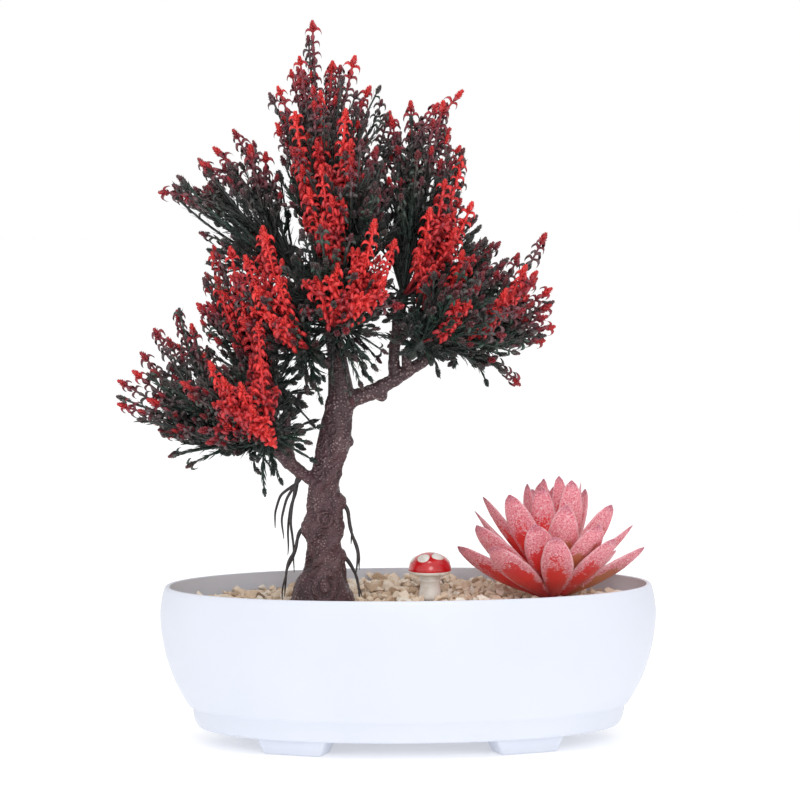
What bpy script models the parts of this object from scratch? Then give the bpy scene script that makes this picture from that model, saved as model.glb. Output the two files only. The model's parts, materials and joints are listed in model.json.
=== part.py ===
"""Artificial tabletop tree: a small maple-like tree, a succulent and a mushroom in an oval footed pot.

Metres, +Z up. The soles of the feet stand on z = 0, -Y is the front and +X is the right-hand side.
The origin lies on the floor under the middle of the whole object, so the pot sits a little to its right.
"""

import math
import random

import bmesh
import bpy
from mathutils import Matrix, Vector

MM = 0.001
GAP = 0.3 * MM  # clearance between two pieces that touch on the real object

# Pot
POT_X = 8.5 * MM  # the pot's middle, to the right of the origin
POT_HALF_LENGTH = 100 * MM
POT_DEPTH_RATIO = 0.53  # half-depth over half-length at every height
POT_OVAL_POWER = 2.1  # 2 is an ellipse, more is squarer
POT_SIDES = 48
POT_WALL = 1.9 * MM
POT_UNDERSIDE_Z = 6.3 * MM
POT_FLOOR_Z = 8.4 * MM
RIM_Z = 63.4 * MM

# Feet, moulded with the pot
FOOT_X = 48.5 * MM
FOOT_TOP_WIDTH = 30 * MM
FOOT_SOLE_WIDTH = 24 * MM
FOOT_TOP_DEPTH = 14 * MM
FOOT_SOLE_DEPTH = 11 * MM
FOOT_INSET = 2.5 * MM  # how far the foot's outer face lies inside the underside's edge
FOOT_EDGE = 0.8 * MM

# Filling
FOAM_TOP_Z = 49.5 * MM
GRAVEL_TOP_Z = 56.0 * MM
GRAVEL_BUMP = 0.7 * MM
STONE_REST_Z = GRAVEL_TOP_Z + 2.2 * MM

# Trunk
TRUNK_BASE_Z = 50.4 * MM
SPIKE_RADIUS = 3.5 * MM
SPIKE_TIP_Z = 20 * MM
PEG_RADIUS = 1.6 * MM
PEG_LENGTH = 6 * MM
ROOT_RADIUS = 0.6 * MM

# Foliage sprays
SLEEVE_WALL = 1.3 * MM
SLEEVE_LENGTH = 10 * MM
SLEEVE_SKIRT = 1.2 * MM  # how far the sleeve reaches back from its hub
FROND_COUNT = 7
FROND_TWIST = 0.2
FULL_FROND = 60 * MM  # a shorter frond is thinner

# Succulent and mushroom
SUCCULENT_X = 58 * MM
SUCCULENT_STEM_RADIUS = 2.3 * MM
SUCCULENT_PICK_RADIUS = 1.5 * MM
SUCCULENT_BASE_Z = 59.0 * MM
TIER_PITCH = 3.8 * MM
LEAF_THICKNESS = 2.5 * MM
MUSHROOM_X = 8.8 * MM
MUSHROOM_PICK_RADIUS = 1.3 * MM
PICK_TIP_Z = 28 * MM

WHITE = (0.84, 0.86, 0.90)
FOAM_GREEN = (0.16, 0.30, 0.17)
GRAVEL = (0.55, 0.44, 0.34)
BARK = (0.075, 0.030, 0.035)
ROOT_BLACK = (0.035, 0.028, 0.030)
LEAF_RED = (0.55, 0.035, 0.035)
LEAF_DARK = (0.045, 0.075, 0.060)
ROSE = (0.66, 0.22, 0.26)
CAP_RED = (0.55, 0.010, 0.015)
CREAM = (0.80, 0.76, 0.70)


def clear_scene():
    for old in list(bpy.data.objects):
        bpy.data.objects.remove(old, do_unlink=True)


def material(name, colour, roughness):
    made = bpy.data.materials.new(name)
    made.use_nodes = True
    shader = made.node_tree.nodes["Principled BSDF"]
    shader.inputs["Base Color"].default_value = (*colour, 1)
    shader.inputs["Roughness"].default_value = roughness
    shader.inputs["Metallic"].default_value = 0
    return made


def pot_point(x, y, z):
    """A point given in millimetres from the pot's middle, at its height over the floor."""
    return Vector((POT_X + x * MM, y * MM, z * MM))


def add_object(name, bm, finish=None, origin=None):
    """Turn a closed bmesh into an object, with its origin at the given point."""
    bmesh.ops.recalc_face_normals(bm, faces=bm.faces)
    mesh = bpy.data.meshes.new(name)
    bm.to_mesh(mesh)
    bm.free()
    made = bpy.data.objects.new(name, mesh)
    bpy.context.scene.collection.objects.link(made)
    if finish:
        mesh.materials.append(finish)
    if origin is not None:
        mesh.transform(Matrix.Translation(-origin))
        made.location = origin
    return made


def shade(made, degrees=40):
    made.data.shade_smooth()
    made.data.set_sharp_from_angle(angle=math.radians(degrees))


def loft(rings):
    """A closed body through rings of equally many points, with a flat cap on each end."""
    bm = bmesh.new()
    rows = [[bm.verts.new(point) for point in ring] for ring in rings]
    sides = len(rows[0])
    for lower, upper in zip(rows, rows[1:]):
        for i in range(sides):
            j = (i + 1) % sides
            bm.faces.new((lower[i], lower[j], upper[j], upper[i]))
    bm.faces.new(rows[0])
    bm.faces.new(rows[-1])
    return bm


def catmull(points, steps):
    """A smooth curve through the points, with the given number of steps between each two."""
    ends = [2 * points[0] - points[1], *points, 2 * points[-1] - points[-2]]
    curve = []
    for a, b, c, d in zip(ends, ends[1:], ends[2:], ends[3:]):
        for i in range(steps):
            t = i / steps
            curve.append(
                0.5 * (2 * b + (c - a) * t + (2 * a - 5 * b + 4 * c - d) * t**2 + (3 * b - a - 3 * c + d) * t**3)
            )
    curve.append(points[-1].copy())
    return curve


def tube(path, radii, sides, flatten=1.0):
    """A closed tube along a path, with a radius at each of its points."""
    side = (path[1] - path[0]).orthogonal().normalized()
    rings = []
    for i, point in enumerate(path):
        ahead = path[min(i + 1, len(path) - 1)] - path[max(i - 1, 0)]
        ahead.normalize()
        side = (side - ahead * side.dot(ahead)).normalized()
        other = ahead.cross(side)
        turns = [2 * math.pi * k / sides for k in range(sides)]
        rings.append([point + radii[i] * (side * math.cos(a) + flatten * other * math.sin(a)) for a in turns])
    return loft(rings)


def turned(profile, sides, centre=Vector()):
    """A closed body of revolution about Z; the profile starts and ends on the axis."""
    bm = bmesh.new()
    rows = []
    for radius, height in profile:
        if radius == 0:
            rows.append([bm.verts.new(centre + Vector((0, 0, height)))])
            continue
        turns = [2 * math.pi * k / sides for k in range(sides)]
        ring = [centre + Vector((radius * math.cos(a), radius * math.sin(a), height)) for a in turns]
        rows.append([bm.verts.new(point) for point in ring])
    for lower, upper in zip(rows, rows[1:]):
        for i in range(sides):
            j = (i + 1) % sides
            corners = [lower[i % len(lower)], lower[j % len(lower)], upper[j % len(upper)], upper[i % len(upper)]]
            bm.faces.new(list(dict.fromkeys(corners)))
    return bm


def combine(name, first, others, operation, finish=None, origin=None, solver="EXACT"):
    """One body from closed bmeshes: the others joined to the first, or cut from it, by Booleans."""
    body = add_object(name + "_start", first)
    tools = []
    for number, other in enumerate(others):
        tool = add_object(f"{name}_tool_{number}", other)
        tool.hide_render = True
        tool.display_type = "WIRE"
        tools.append(tool)
        cut = body.modifiers.new(tool.name, "BOOLEAN")
        cut.operation = operation
        cut.solver = solver
        cut.object = tool
    bpy.context.view_layer.update()
    graph = bpy.context.evaluated_depsgraph_get()
    mesh = bpy.data.meshes.new_from_object(body.evaluated_get(graph))
    bm = bmesh.new()
    bm.from_mesh(mesh)
    for used in [body, *tools]:
        bpy.data.objects.remove(used, do_unlink=True)
    bpy.data.meshes.remove(mesh)
    return add_object(name, bm, finish, origin)


# ---------------------------------------------------------------- pot and filling


def oval(half_length, z, sides=POT_SIDES, shrink=0.0):
    """The pot's oval at a height, drawn in by shrink all round."""
    ring = []
    power = 2 / POT_OVAL_POWER
    for k in range(sides):
        turn = 2 * math.pi * k / sides
        c, s = math.cos(turn), math.sin(turn)
        x = (half_length - shrink) * math.copysign(abs(c) ** power, c)
        y = (half_length * POT_DEPTH_RATIO - shrink) * math.copysign(abs(s) ** power, s)
        ring.append(Vector((POT_X + x, y, z)))
    return ring


def outer_wall():
    """(half-length, height) up the outside of the pot: rounded base edge, soft step, full belly, rim."""
    base_edge = [(81.5, 6.3), (84.4, 6.9), (86.0, 8.8), (86.9, 11.6), (87.3, 14.4)]
    step = [(88.2, 15.2), (89.3, 16.4)]
    belly = [(92.0, 21.0), (94.9, 27.0), (97.6, 35.0), (99.4, 44.0), (100.0, 52.5), (99.2, 59.0)]
    rim = [(98.4, 62.4), (97.9, 63.3)]
    return [(a * MM, z * MM) for a, z in base_edge + step + belly + rim]


def inner_half_length(z):
    """Half-length of the pot's hollow at a height."""
    wall = outer_wall()
    for (a, low), (b, high) in zip(wall, wall[1:]):
        if low <= z <= high:
            return a + (b - a) * (z - low) / (high - low) - POT_WALL
    return wall[-1][0] - POT_WALL


def foot(side_x, side_y):
    """A block that tapers to its sole, turned to follow the oval."""
    edge = outer_wall()[1][0]
    share = FOOT_X / edge
    rise = math.sqrt(1 - share**2)
    edge_y = edge * POT_DEPTH_RATIO * rise
    turn = math.atan2(POT_DEPTH_RATIO * share, rise)
    along = Vector((math.cos(turn), math.sin(turn), 0))
    inward = Vector((-math.sin(turn), math.cos(turn), 0))
    outer = Vector((FOOT_X, -edge_y, 0)) + inward * FOOT_INSET
    rings = []
    top_z = (POT_UNDERSIDE_Z + POT_FLOOR_Z) / 2
    for width, depth, inset, z in (
        (FOOT_SOLE_WIDTH, FOOT_SOLE_DEPTH, 1.2 * MM, 0),
        (FOOT_TOP_WIDTH, FOOT_TOP_DEPTH, 0, top_z),
    ):
        corners = [(-0.5, 0), (0.5, 0), (0.5, 1), (-0.5, 1)]
        ring = [outer + along * (u * width) + inward * (inset + v * depth) + Vector((0, 0, z)) for u, v in corners]
        rings.append([Vector((POT_X + side_x * p.x, side_y * -p.y, p.z)) for p in ring])
    bm = loft(rings)
    bmesh.ops.bevel(bm, geom=bm.edges[:], offset=FOOT_EDGE, segments=1, affect="EDGES")
    return bm


def make_pot(finish):
    rings = [oval(a, z) for a, z in outer_wall()]
    lip = outer_wall()[-1][0] - POT_WALL / 2
    rings.append(oval(lip, RIM_Z + 0.2 * MM))
    for z in (62.6, 57, 50, 38, 25, 16, 9.6):
        rings.append(oval(inner_half_length(z * MM), z * MM))
    rings.append(oval(inner_half_length(9.6 * MM) - 2.5 * MM, POT_FLOOR_Z))
    feet = [foot(sx, sy) for sx in (-1, 1) for sy in (-1, 1)]
    pot = combine("pot", loft(rings), feet, "UNION", finish)
    shade(pot)
    return pot


def post(x, y, radius, low, high, sides=12):
    """A round post from low to high, for holes and picks."""
    return turned([(0, low), (radius, low), (radius, high), (0, high)], sides, Vector((POT_X + x, y, 0)))


def make_foam(finish):
    heights = [9.2 * MM, 16.5 * MM, 27 * MM, FOAM_TOP_Z]
    rings = [oval(inner_half_length(max(z, 10 * MM)), z, 32, 1.2 * MM) for z in heights]
    rings[0] = oval(inner_half_length(10 * MM), 9.2 * MM, 32, 4 * MM)
    base = trunk_rows()[0][0]
    holes = [
        turned(
            [(0, SPIKE_TIP_Z - MM), (SPIKE_RADIUS + GAP, SPIKE_TIP_Z - MM), (SPIKE_RADIUS + GAP, 0.1), (0, 0.1)],
            12,
            Vector((base.x, base.y, 0)),
        ),
        post(SUCCULENT_X, 0, SUCCULENT_PICK_RADIUS + GAP, PICK_TIP_Z - MM, 0.1),
        post(MUSHROOM_X, 0, MUSHROOM_PICK_RADIUS + GAP, PICK_TIP_Z - MM, 0.1),
    ]
    return combine("foam_block", loft(rings), holes, "DIFFERENCE", finish)


def make_gravel(finish):
    """A glued bed of stones, as one plate with an uneven top."""
    uneven = random.Random(4)
    sides = 36
    low, high = FOAM_TOP_Z + GAP, GRAVEL_TOP_Z
    edge_high = inner_half_length(high)
    rings = [oval(inner_half_length(low), low, sides, GAP * 1.5), oval(edge_high, high - 1.2 * MM, sides, GAP * 1.5)]
    for share in (0.93, 0.76, 0.6, 0.42, 0.22):
        ring = oval(edge_high * share, high, sides)
        for point in ring:
            point.z += uneven.uniform(-GRAVEL_BUMP, GRAVEL_BUMP)
        rings.append(ring)
    base = trunk_rows()[0][0]
    widest = max(radius for _, radius in trunk_rows())
    holes = [
        turned([(0, 0), (widest + 0.8 * MM, 0), (widest + 0.8 * MM, 0.1), (0, 0.1)], 20, Vector((base.x, base.y, 0))),
        post(SUCCULENT_X, 0, SUCCULENT_STEM_RADIUS + GAP, 0, 0.1),
        post(MUSHROOM_X, 0, MUSHROOM_PICK_RADIUS + GAP, 0, 0.1),
    ]
    return combine("gravel_bed", loft(rings), holes, "DIFFERENCE", finish)


def make_stones(finish):
    """Large stones glued on the bed, behind the trunk and round the mushroom."""
    uneven = random.Random(11)
    places = [(-62, 12, 4.6), (-14, 20, 4.4), (-4, 12, 5.0), (22, 17, 4.8), (30, -16, 4.0), (-70, -10, 3.8)]
    for number, (x, y, size) in enumerate(places, 1):
        bm = bmesh.new()
        bmesh.ops.create_icosphere(bm, subdivisions=1, radius=size * MM)
        squash = Vector((uneven.uniform(0.9, 1.25), uneven.uniform(0.75, 1.0), uneven.uniform(0.5, 0.62)))
        for vert in bm.verts:
            wobble = uneven.uniform(0.86, 1.1)
            vert.co = Vector((vert.co.x * squash.x, vert.co.y * squash.y, vert.co.z * squash.z)) * wobble
        lowest = min(vert.co.z for vert in bm.verts)
        place = Vector((POT_X + x * MM, y * MM, STONE_REST_Z - MM - lowest))
        bmesh.ops.translate(bm, verts=bm.verts, vec=place)
        add_object(f"stone_{number}", bm, finish)


# ---------------------------------------------------------------- trunk, limbs and roots


def trunk_rows():
    """(centre, radius) up the trunk and the leader inside the crown."""
    rows = [
        (-34.5, -5.0, TRUNK_BASE_Z / MM, 13.6),
        (-34.6, -5.0, 57.0, 13.0),
        (-34.3, -5.0, 63.5, 11.6),
        (-32.9, -5.0, 71.0, 7.4),
        (-33.3, -4.8, 80.0, 6.9),
        (-34.3, -4.6, 87.5, 8.0),
        (-33.4, -4.4, 93.5, 7.1),
        (-33.9, -4.0, 103.0, 6.3),
        (-31.6, -3.6, 114.0, 6.1),
        (-29.0, -3.2, 122.0, 7.0),
        (-28.2, -2.8, 131.0, 5.9),
        (-26.6, -2.2, 140.0, 5.4),
        (-27.6, -1.6, 151.0, 4.3),
        (-29.2, -1.2, 163.0, 3.6),
        (-30.6, -0.6, 176.0, 3.1),
        (-31.2, 0.0, 187.0, 2.5),
    ]
    return [(pot_point(x, y, z), r * MM) for x, y, z, r in rows]


def limbs():
    """(path, first radius, last radius) of each branch that is moulded with the trunk."""
    right = [(-27, -3, 136.5), (-21, -2.4, 139.2), (-14.7, -1.8, 141.4), (-6.7, -1, 145.4), (-0.2, 0, 149.4), (9.4, 0, 155.4)]
    left = [(-33, -3.4, 104.0), (-38, -3, 106.6), (-43.6, -2.4, 109.8), (-51, -2, 116.6)]
    fork = [(-5, -0.6, 146.5), (-5.2, 0, 156), (-3.8, 0, 170)]
    riser = [(-47, -2, 112.5), (-48.6, -1.4, 121), (-48.4, -1, 132.5)]
    shapes = [(right, 3.5, 2.4), (left, 3.4, 2.5), (fork, 2.5, 2.0), (riser, 2.4, 1.9)]
    return [([pot_point(*p) for p in path], first * MM, last * MM) for path, first, last in shapes]


def make_trunk(finish):
    rows = trunk_rows()
    first = tube([centre for centre, _ in rows], [radius for _, radius in rows], 12, 0.92)
    pieces = []
    for path, start, end in limbs():
        curve = catmull(path, 2)
        last = len(curve) - 1
        pieces.append(tube(curve, [start + (end - start) * i / last for i in range(last + 1)], 8))
    base = rows[0][0]
    spike = [(0, SPIKE_TIP_Z), (SPIKE_RADIUS, SPIKE_TIP_Z + 6 * MM), (SPIKE_RADIUS, TRUNK_BASE_Z + 3 * MM), (0, TRUNK_BASE_Z + 3 * MM)]
    pieces.append(turned(spike, 10, Vector((base.x, base.y, 0))))
    for _, hub, axis, start, _, _ in sprays():
        stub = [start, hub - axis * 3.4 * MM, hub - axis * 2.4 * MM, hub + axis * PEG_LENGTH]
        pieces.append(tube(stub, [2.3 * MM, 2.1 * MM, PEG_RADIUS, PEG_RADIUS * 0.9], 7))
    for x, y, z, size in ((-33.5, -14.4, 65.5, 4.6), (-33.6, -10.9, 92, 2.8), (-24.2, -3.6, 122, 3.2), (-10.6, -1.4, 140.6, 3.0)):
        knot = bmesh.new()
        bmesh.ops.create_icosphere(knot, subdivisions=1, radius=size * MM)
        bmesh.ops.translate(knot, verts=knot.verts, vec=pot_point(x, y, z))
        pieces.append(knot)
    trunk = combine("trunk", first, pieces, "UNION", finish)
    shade(trunk)
    return trunk


def make_roots(finish):
    """Four bunches of thin aerial roots; the strands of a bunch start together on the bark."""
    bunches = {
        "roots_left_upper": [
            [(-44.6, -2.6, 105.2), (-46.6, -3.6, 97), (-47.2, -5, 88), (-46.2, -7.5, 80), (-46.0, -8, 70)],
            [(-44.6, -2.6, 105.2), (-49.0, -2.0, 98), (-50.6, -2.4, 91), (-50.0, -4, 83)],
            [(-44.6, -2.6, 105.2), (-50.8, -1.0, 100), (-53.2, 0.4, 94), (-53.6, 0, 87)],
            [(-44.6, -2.6, 105.2), (-46.4, 1.0, 96), (-48.4, 3, 86), (-48.6, 2.6, 75)],
        ],
        "roots_left_lower": [
            [(-43.6, -6.0, 85.5), (-45.8, -9.0, 78), (-49.4, -10.5, 70), (-50.2, -11, 58.6)],
            [(-43.6, -6.0, 85.5), (-45.0, -3.0, 78), (-49.0, -2, 69), (-49.6, -1, 58.6)],
        ],
        "roots_right_upper": [
            [(-24.6, -6, 94.5), (-23.0, -7.4, 86), (-20.6, -8, 79), (-19.6, -7.4, 71)],
            [(-24.6, -6, 94.5), (-22.2, -9.4, 84), (-20.4, -13.5, 77), (-21.4, -14.5, 68)],
            [(-24.6, -6, 94.5), (-22.8, -3.6, 88), (-22.6, -1, 80)],
        ],
        "roots_right_lower": [
            [(-24.0, -3, 73.5), (-21.0, -3.5, 67), (-18.4, -4, 58.6)],
            [(-24.0, -3, 73.5), (-20.8, -9, 66), (-19.4, -12.5, 58.6)],
        ],
    }
    for name, strands in bunches.items():
        shapes = []
        for strand in strands:
            curve = catmull([pot_point(*p) for p in strand], 2)
            last = len(curve) - 1
            radii = [ROOT_RADIUS * (1.15 - 0.55 * i / last) for i in range(last + 1)]
            shapes.append(tube(curve, radii, 4))
        combine(name, shapes[0], shapes[1:], "UNION", finish)


# ---------------------------------------------------------------- foliage


def sprays():
    """(name, hub, axis, where its stub leaves the wood, length, spread in degrees) of each spray."""
    table = [
        ("spray_left_low", (-55, -2, 118.6), (-0.94, -0.06, 0.30), (-49, -2, 114.8), 57, 28),
        ("spray_left_tall", (-49.8, -1.4, 137), (-0.40, -0.12, 0.90), (-48.5, -1, 131), 60, 21),
        ("spray_left_front", (-50, -9, 122), (-0.62, -0.62, 0.48), (-48.6, -2, 117), 46, 26),
        ("spray_left_back", (-49.5, 7, 122.5), (-0.55, 0.70, 0.46), (-48.6, -1, 118), 46, 26),
        ("spray_middle_left", (-35.5, -7, 156), (-0.46, -0.72, 0.50), (-29, -1.4, 152), 40, 25),
        ("spray_upper_left", (-38, 1.4, 184.5), (-0.79, 0.14, 0.60), (-30.8, -0.4, 179), 69, 17),
        ("spray_top", (-31.6, 0, 191), (-0.08, 0.0, 1.0), (-31.2, 0, 185), 87, 16),
        ("spray_front", (-28.5, -8.5, 163), (-0.10, -0.66, 0.75), (-28.8, -1.2, 159), 52, 25),
        ("spray_back", (-27.5, 7, 164), (-0.02, 0.80, 0.60), (-29.0, -1.2, 160), 50, 24),
        ("spray_upper_front", (-24.5, -7, 181), (0.10, -0.42, 0.90), (-30.4, -0.6, 174), 58, 17),
        ("spray_upper_back", (-24.5, 7, 181), (0.14, 0.36, 0.92), (-30.4, -0.6, 174), 58, 17),
        ("spray_middle_right", (4.4, 2.4, 168.6), (0.72, 0.26, 0.64), (-4.6, 0, 162), 45, 18),
        ("spray_upper_right", (-3.4, 0, 173), (0.24, 0.0, 0.97), (-3.8, 0, 169), 80, 17),
        ("spray_right", (12.2, 0, 157), (0.93, 0.0, 0.36), (6.0, 0, 153.2), 43, 30),
        ("spray_right_front", (1.5, -8, 157.5), (0.52, -0.62, 0.59), (0, 0, 150), 46, 25),
        ("spray_right_back", (1.5, 8, 157.5), (0.48, 0.65, 0.59), (0, 0, 150), 46, 25),
    ]
    return [
        (name, pot_point(*hub), Vector(axis).normalized(), pot_point(*start), length * MM, math.radians(spread))
        for name, hub, axis, start, length, spread in table
    ]


def frond_paths(hub, axis, length, spread, count=FROND_COUNT):
    """One frond along the axis and the others round it, by turns wide and narrow, all curving up a little."""
    start = hub + axis * (SLEEVE_LENGTH - 2.5 * MM)
    side = axis.cross(Vector((0, 1, 0))).normalized()
    paths = []
    for k in range(count):
        turn = 2 * math.pi * (k - 1) / (count - 1) + FROND_TWIST
        lean = 0 if k == 0 else spread * (1.0 if k % 2 else 0.62)
        out = Matrix.Rotation(turn, 3, axis) @ side
        heading = axis * math.cos(lean) + out * math.sin(lean)
        reach = length * (1 - 0.22 * lean / spread)
        tip = start + heading * reach + Vector((0, 0, 0.05 * reach))
        bend = start + (axis * 0.35 + heading * 0.65).normalized() * reach * 0.5
        paths.append([start.lerp(bend, t).lerp(bend.lerp(tip, t), t) for t in (0, 0.24, 0.45, 0.82, 1)])
    return paths


def make_spray(name, hub, axis, length, spread, finish):
    """A dark sleeve that plugs over its peg, and fronds whose outer two thirds are thick with leaves."""
    inner = PEG_RADIUS + GAP
    outer = inner + SLEEVE_WALL
    blind = PEG_LENGTH + GAP
    profile = [(0, blind), (inner, blind), (inner, -SLEEVE_SKIRT), (outer, -SLEEVE_SKIRT), (outer, blind)]
    profile += [(outer * 0.8, SLEEVE_LENGTH), (0, SLEEVE_LENGTH)]
    sleeve = turned(profile, 10)
    sleeve.transform(Matrix.Translation(hub) @ axis.to_track_quat("Z", "Y").to_matrix().to_4x4())
    fronds = []
    fullness = max(0.7, min(1, length / FULL_FROND))
    for path in frond_paths(hub, axis, length, spread):
        radii = [r * MM * fullness for r in (1.3, 1.2, 2.6, 2.9, 0.5)]
        fronds.append(tube(path, radii, 4))
    # The exact solver splits a bunch of tubes that start at one point, so these use the manifold one.
    return combine(name, sleeve, fronds, "UNION", finish, hub, "MANIFOLD")


# ---------------------------------------------------------------- succulent and mushroom


def leaf(base, outward, lean, length, width, thick):
    """A keeled, pointed leaf that starts at base and curls up from its lean."""
    across = Vector((-outward.y, outward.x, 0))
    rings = []
    place = base.copy()
    shares = (0, 0.22, 0.5, 0.78, 0.93, 1)
    widths = (0.42, 0.74, 1.0, 0.78, 0.36, 0.04)
    last = 0
    for share, wide in zip(shares, widths):
        tilt = lean + math.radians(12) * share
        along = outward * math.cos(tilt) + Vector((0, 0, math.sin(tilt)))
        up = along.cross(across) * -1
        place = place + along * (share - last) * length
        last = share
        half = width * wide / 2
        body = thick * (0.35 + 0.65 * wide)
        rings.append([place + across * half, place + up * body * 0.3, place - across * half, place - up * body * 0.7])
    return loft(rings)


def make_succulent(finish, stem_finish):
    """Five rings of leaves threaded on a stem that ends in a pick."""
    centre = Vector((POT_X + SUCCULENT_X, 0, 0))
    tiers = [(8, 20, 40, 11.0), (7, 36, 40, 10.5), (6, 51, 38, 9.0), (5, 68, 34, 7.0), (3, 82, 30, 6.0)]
    stem_top = SUCCULENT_BASE_Z + 4 * TIER_PITCH
    rod = [
        (0, PICK_TIP_Z),
        (SUCCULENT_PICK_RADIUS, PICK_TIP_Z + 5 * MM),
        (SUCCULENT_PICK_RADIUS, 56 * MM),
        (SUCCULENT_STEM_RADIUS, 58 * MM),
        (SUCCULENT_STEM_RADIUS, stem_top - 1.6 * MM),
        (0, stem_top - 1.6 * MM),
    ]
    shade(add_object("succulent_stem", turned(rod, 12, centre), stem_finish))
    for number, (count, lean, length, width) in enumerate(tiers):
        z = SUCCULENT_BASE_Z + number * TIER_PITCH
        hole = 0 if number == len(tiers) - 1 else SUCCULENT_STEM_RADIUS + GAP
        low, high = z - 1.2 * MM, z + 1.2 * MM
        rim = 4.4 * MM
        if hole:
            hub = turned_ring(hole, rim, low, high, centre)
        else:
            hub = turned([(0, low), (rim * 0.7, low), (rim * 0.7, high), (0, high)], 12, centre)
        leaves = []
        for k in range(count):
            turn = 2 * math.pi * (k + 0.5 * (number % 2)) / count + 0.35 * number + 0.05
            outward = Vector((math.cos(turn), math.sin(turn), 0))
            start = centre + outward * (3.9 if hole else 1.6) * MM + Vector((0, 0, z))
            leaves.append(leaf(start, outward, math.radians(lean), length * MM, width * MM, LEAF_THICKNESS))
        # Neighbouring leaves cross at their bases, where the exact solver leaves open edges.
        combine(f"succulent_leaves_{number + 1}", hub, leaves, "UNION", finish, solver="MANIFOLD")


def turned_ring(inner, outer, low, high, centre):
    """A flat washer."""
    bm = bmesh.new()
    sides = 12
    rows = []
    for radius, z in ((inner, low), (outer, low), (outer, high), (inner, high)):
        turns = [2 * math.pi * k / sides for k in range(sides)]
        rows.append([bm.verts.new(centre + Vector((radius * math.cos(a), radius * math.sin(a), z))) for a in turns])
    for row, after in zip(rows, rows[1:] + rows[:1]):
        for i in range(sides):
            j = (i + 1) % sides
            bm.faces.new((row[i], row[j], after[j], after[i]))
    return bm


def make_mushroom(cap_finish, stem_finish):
    centre = Vector((POT_X + MUSHROOM_X, 0, 0))
    dome = [(8.7 * math.cos(a), 68.6 + 6.9 * math.sin(a)) for a in (math.pi / 2 * k / 6 for k in range(6, -1, -1))]
    under = [(8.3, 67.6), (6.6, 67.5), (5.0, 68.3), (0, 68.3)]
    profile = [(0 if k == 0 else r * MM, z * MM) for k, (r, z) in enumerate(dome + under)]
    cap = add_object("mushroom_cap", turned(profile, 20, centre), cap_finish)
    shade(cap)
    stem = [(4.4, 68.0), (4.0, 64.5), (4.3, 60.5), (4.9, 58.0), (4.2, 57.2)]
    pick = [(MUSHROOM_PICK_RADIUS / MM, 57.2), (MUSHROOM_PICK_RADIUS / MM, PICK_TIP_Z / MM + 5), (0, PICK_TIP_Z / MM)]
    profile = [(r * MM, z * MM) for r, z in [(0, 68.0), *stem, *pick]]
    shade(add_object("mushroom_stem", turned(profile, 12, centre), stem_finish))


def main():
    clear_scene()
    white = material("pot_plastic", WHITE, 0.45)
    bark = material("bark_plastic", BARK, 0.5)
    root = material("root_plastic", ROOT_BLACK, 0.5)
    stone = material("stone", GRAVEL, 0.85)
    foam = material("foam", FOAM_GREEN, 0.9)
    red_leaf = material("leaf_red", LEAF_RED, 0.5)
    dark_leaf = material("leaf_dark", LEAF_DARK, 0.5)
    rose = material("rose_leaf", ROSE, 0.7)
    red = material("cap_red", CAP_RED, 0.2)
    cream = material("cream", CREAM, 0.5)
    make_pot(white)
    make_foam(foam)
    make_gravel(stone)
    make_stones(stone)
    make_trunk(bark)
    make_roots(root)
    for number, (name, hub, axis, _, length, spread) in enumerate(sprays()):
        make_spray(name, hub, axis, length, spread, dark_leaf if number % 3 == 0 else red_leaf)
    make_succulent(rose, cream)
    make_mushroom(red, cream)


main()
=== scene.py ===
"""Looks of the artificial tabletop tree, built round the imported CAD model.

Metres, +Z up, -Y is the front. Shapes that fill the place of CAD nodes repeat the CAD's driving sizes.
"""

import json
import math
import random

import bmesh
import bpy
import numpy as np
from mathutils import Matrix, Vector, noise


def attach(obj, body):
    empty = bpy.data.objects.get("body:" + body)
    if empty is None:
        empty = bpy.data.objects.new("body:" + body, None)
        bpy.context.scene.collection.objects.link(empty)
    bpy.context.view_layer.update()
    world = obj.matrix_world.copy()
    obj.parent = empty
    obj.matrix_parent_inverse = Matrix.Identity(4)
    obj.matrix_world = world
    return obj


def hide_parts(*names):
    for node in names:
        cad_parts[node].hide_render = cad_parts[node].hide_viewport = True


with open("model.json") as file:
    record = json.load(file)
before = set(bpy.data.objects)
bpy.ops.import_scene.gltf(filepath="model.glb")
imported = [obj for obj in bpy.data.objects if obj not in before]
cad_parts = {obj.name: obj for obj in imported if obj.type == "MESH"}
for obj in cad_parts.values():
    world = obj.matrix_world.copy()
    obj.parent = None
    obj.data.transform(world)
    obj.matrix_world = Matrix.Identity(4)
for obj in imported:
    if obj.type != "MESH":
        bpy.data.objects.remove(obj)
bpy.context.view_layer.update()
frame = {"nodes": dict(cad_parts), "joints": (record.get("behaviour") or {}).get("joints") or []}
JOINTS = {joint["name"]: joint for joint in frame["joints"]}
MM = 0.001
ROOT = "pot_and_trunk"

# Sizes shared with the CAD model, in millimetres from the pot's middle unless a name says otherwise
POT_X = 8.5
POT_DEPTH_RATIO = 0.53
POT_OVAL_POWER = 2.1
POT_WALL = 1.9
POT_SIDES = 192
FOOT_X = 48.5
GRAVEL_Z = 56.0
SUCCULENT_X = 58.0
MUSHROOM_X = 8.8
CAP_RADIUS = 8.7
CAP_EDGE_Z = 69.4
CAP_RISE = 7.1


def at(x, y, z):
    """A point given in millimetres from the pot's middle, in the frame's metres."""
    return Vector(((POT_X + x) * MM, y * MM, z * MM))


def hump(x, middle, width):
    """1 at the middle of a bell-shaped rise, towards 0 away from it."""
    return math.exp(-(((x - middle) / width) ** 2))


# ------------------------------------------------------------------ mesh helpers


def new_object(name, data):
    made = bpy.data.objects.new(name, data)
    bpy.context.scene.collection.objects.link(made)
    return made


def add_attribute(mesh, name, values):
    layer = mesh.attributes.new(name, "FLOAT", "POINT")
    layer.data.foreach_set("value", values.astype(np.float32))


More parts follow.
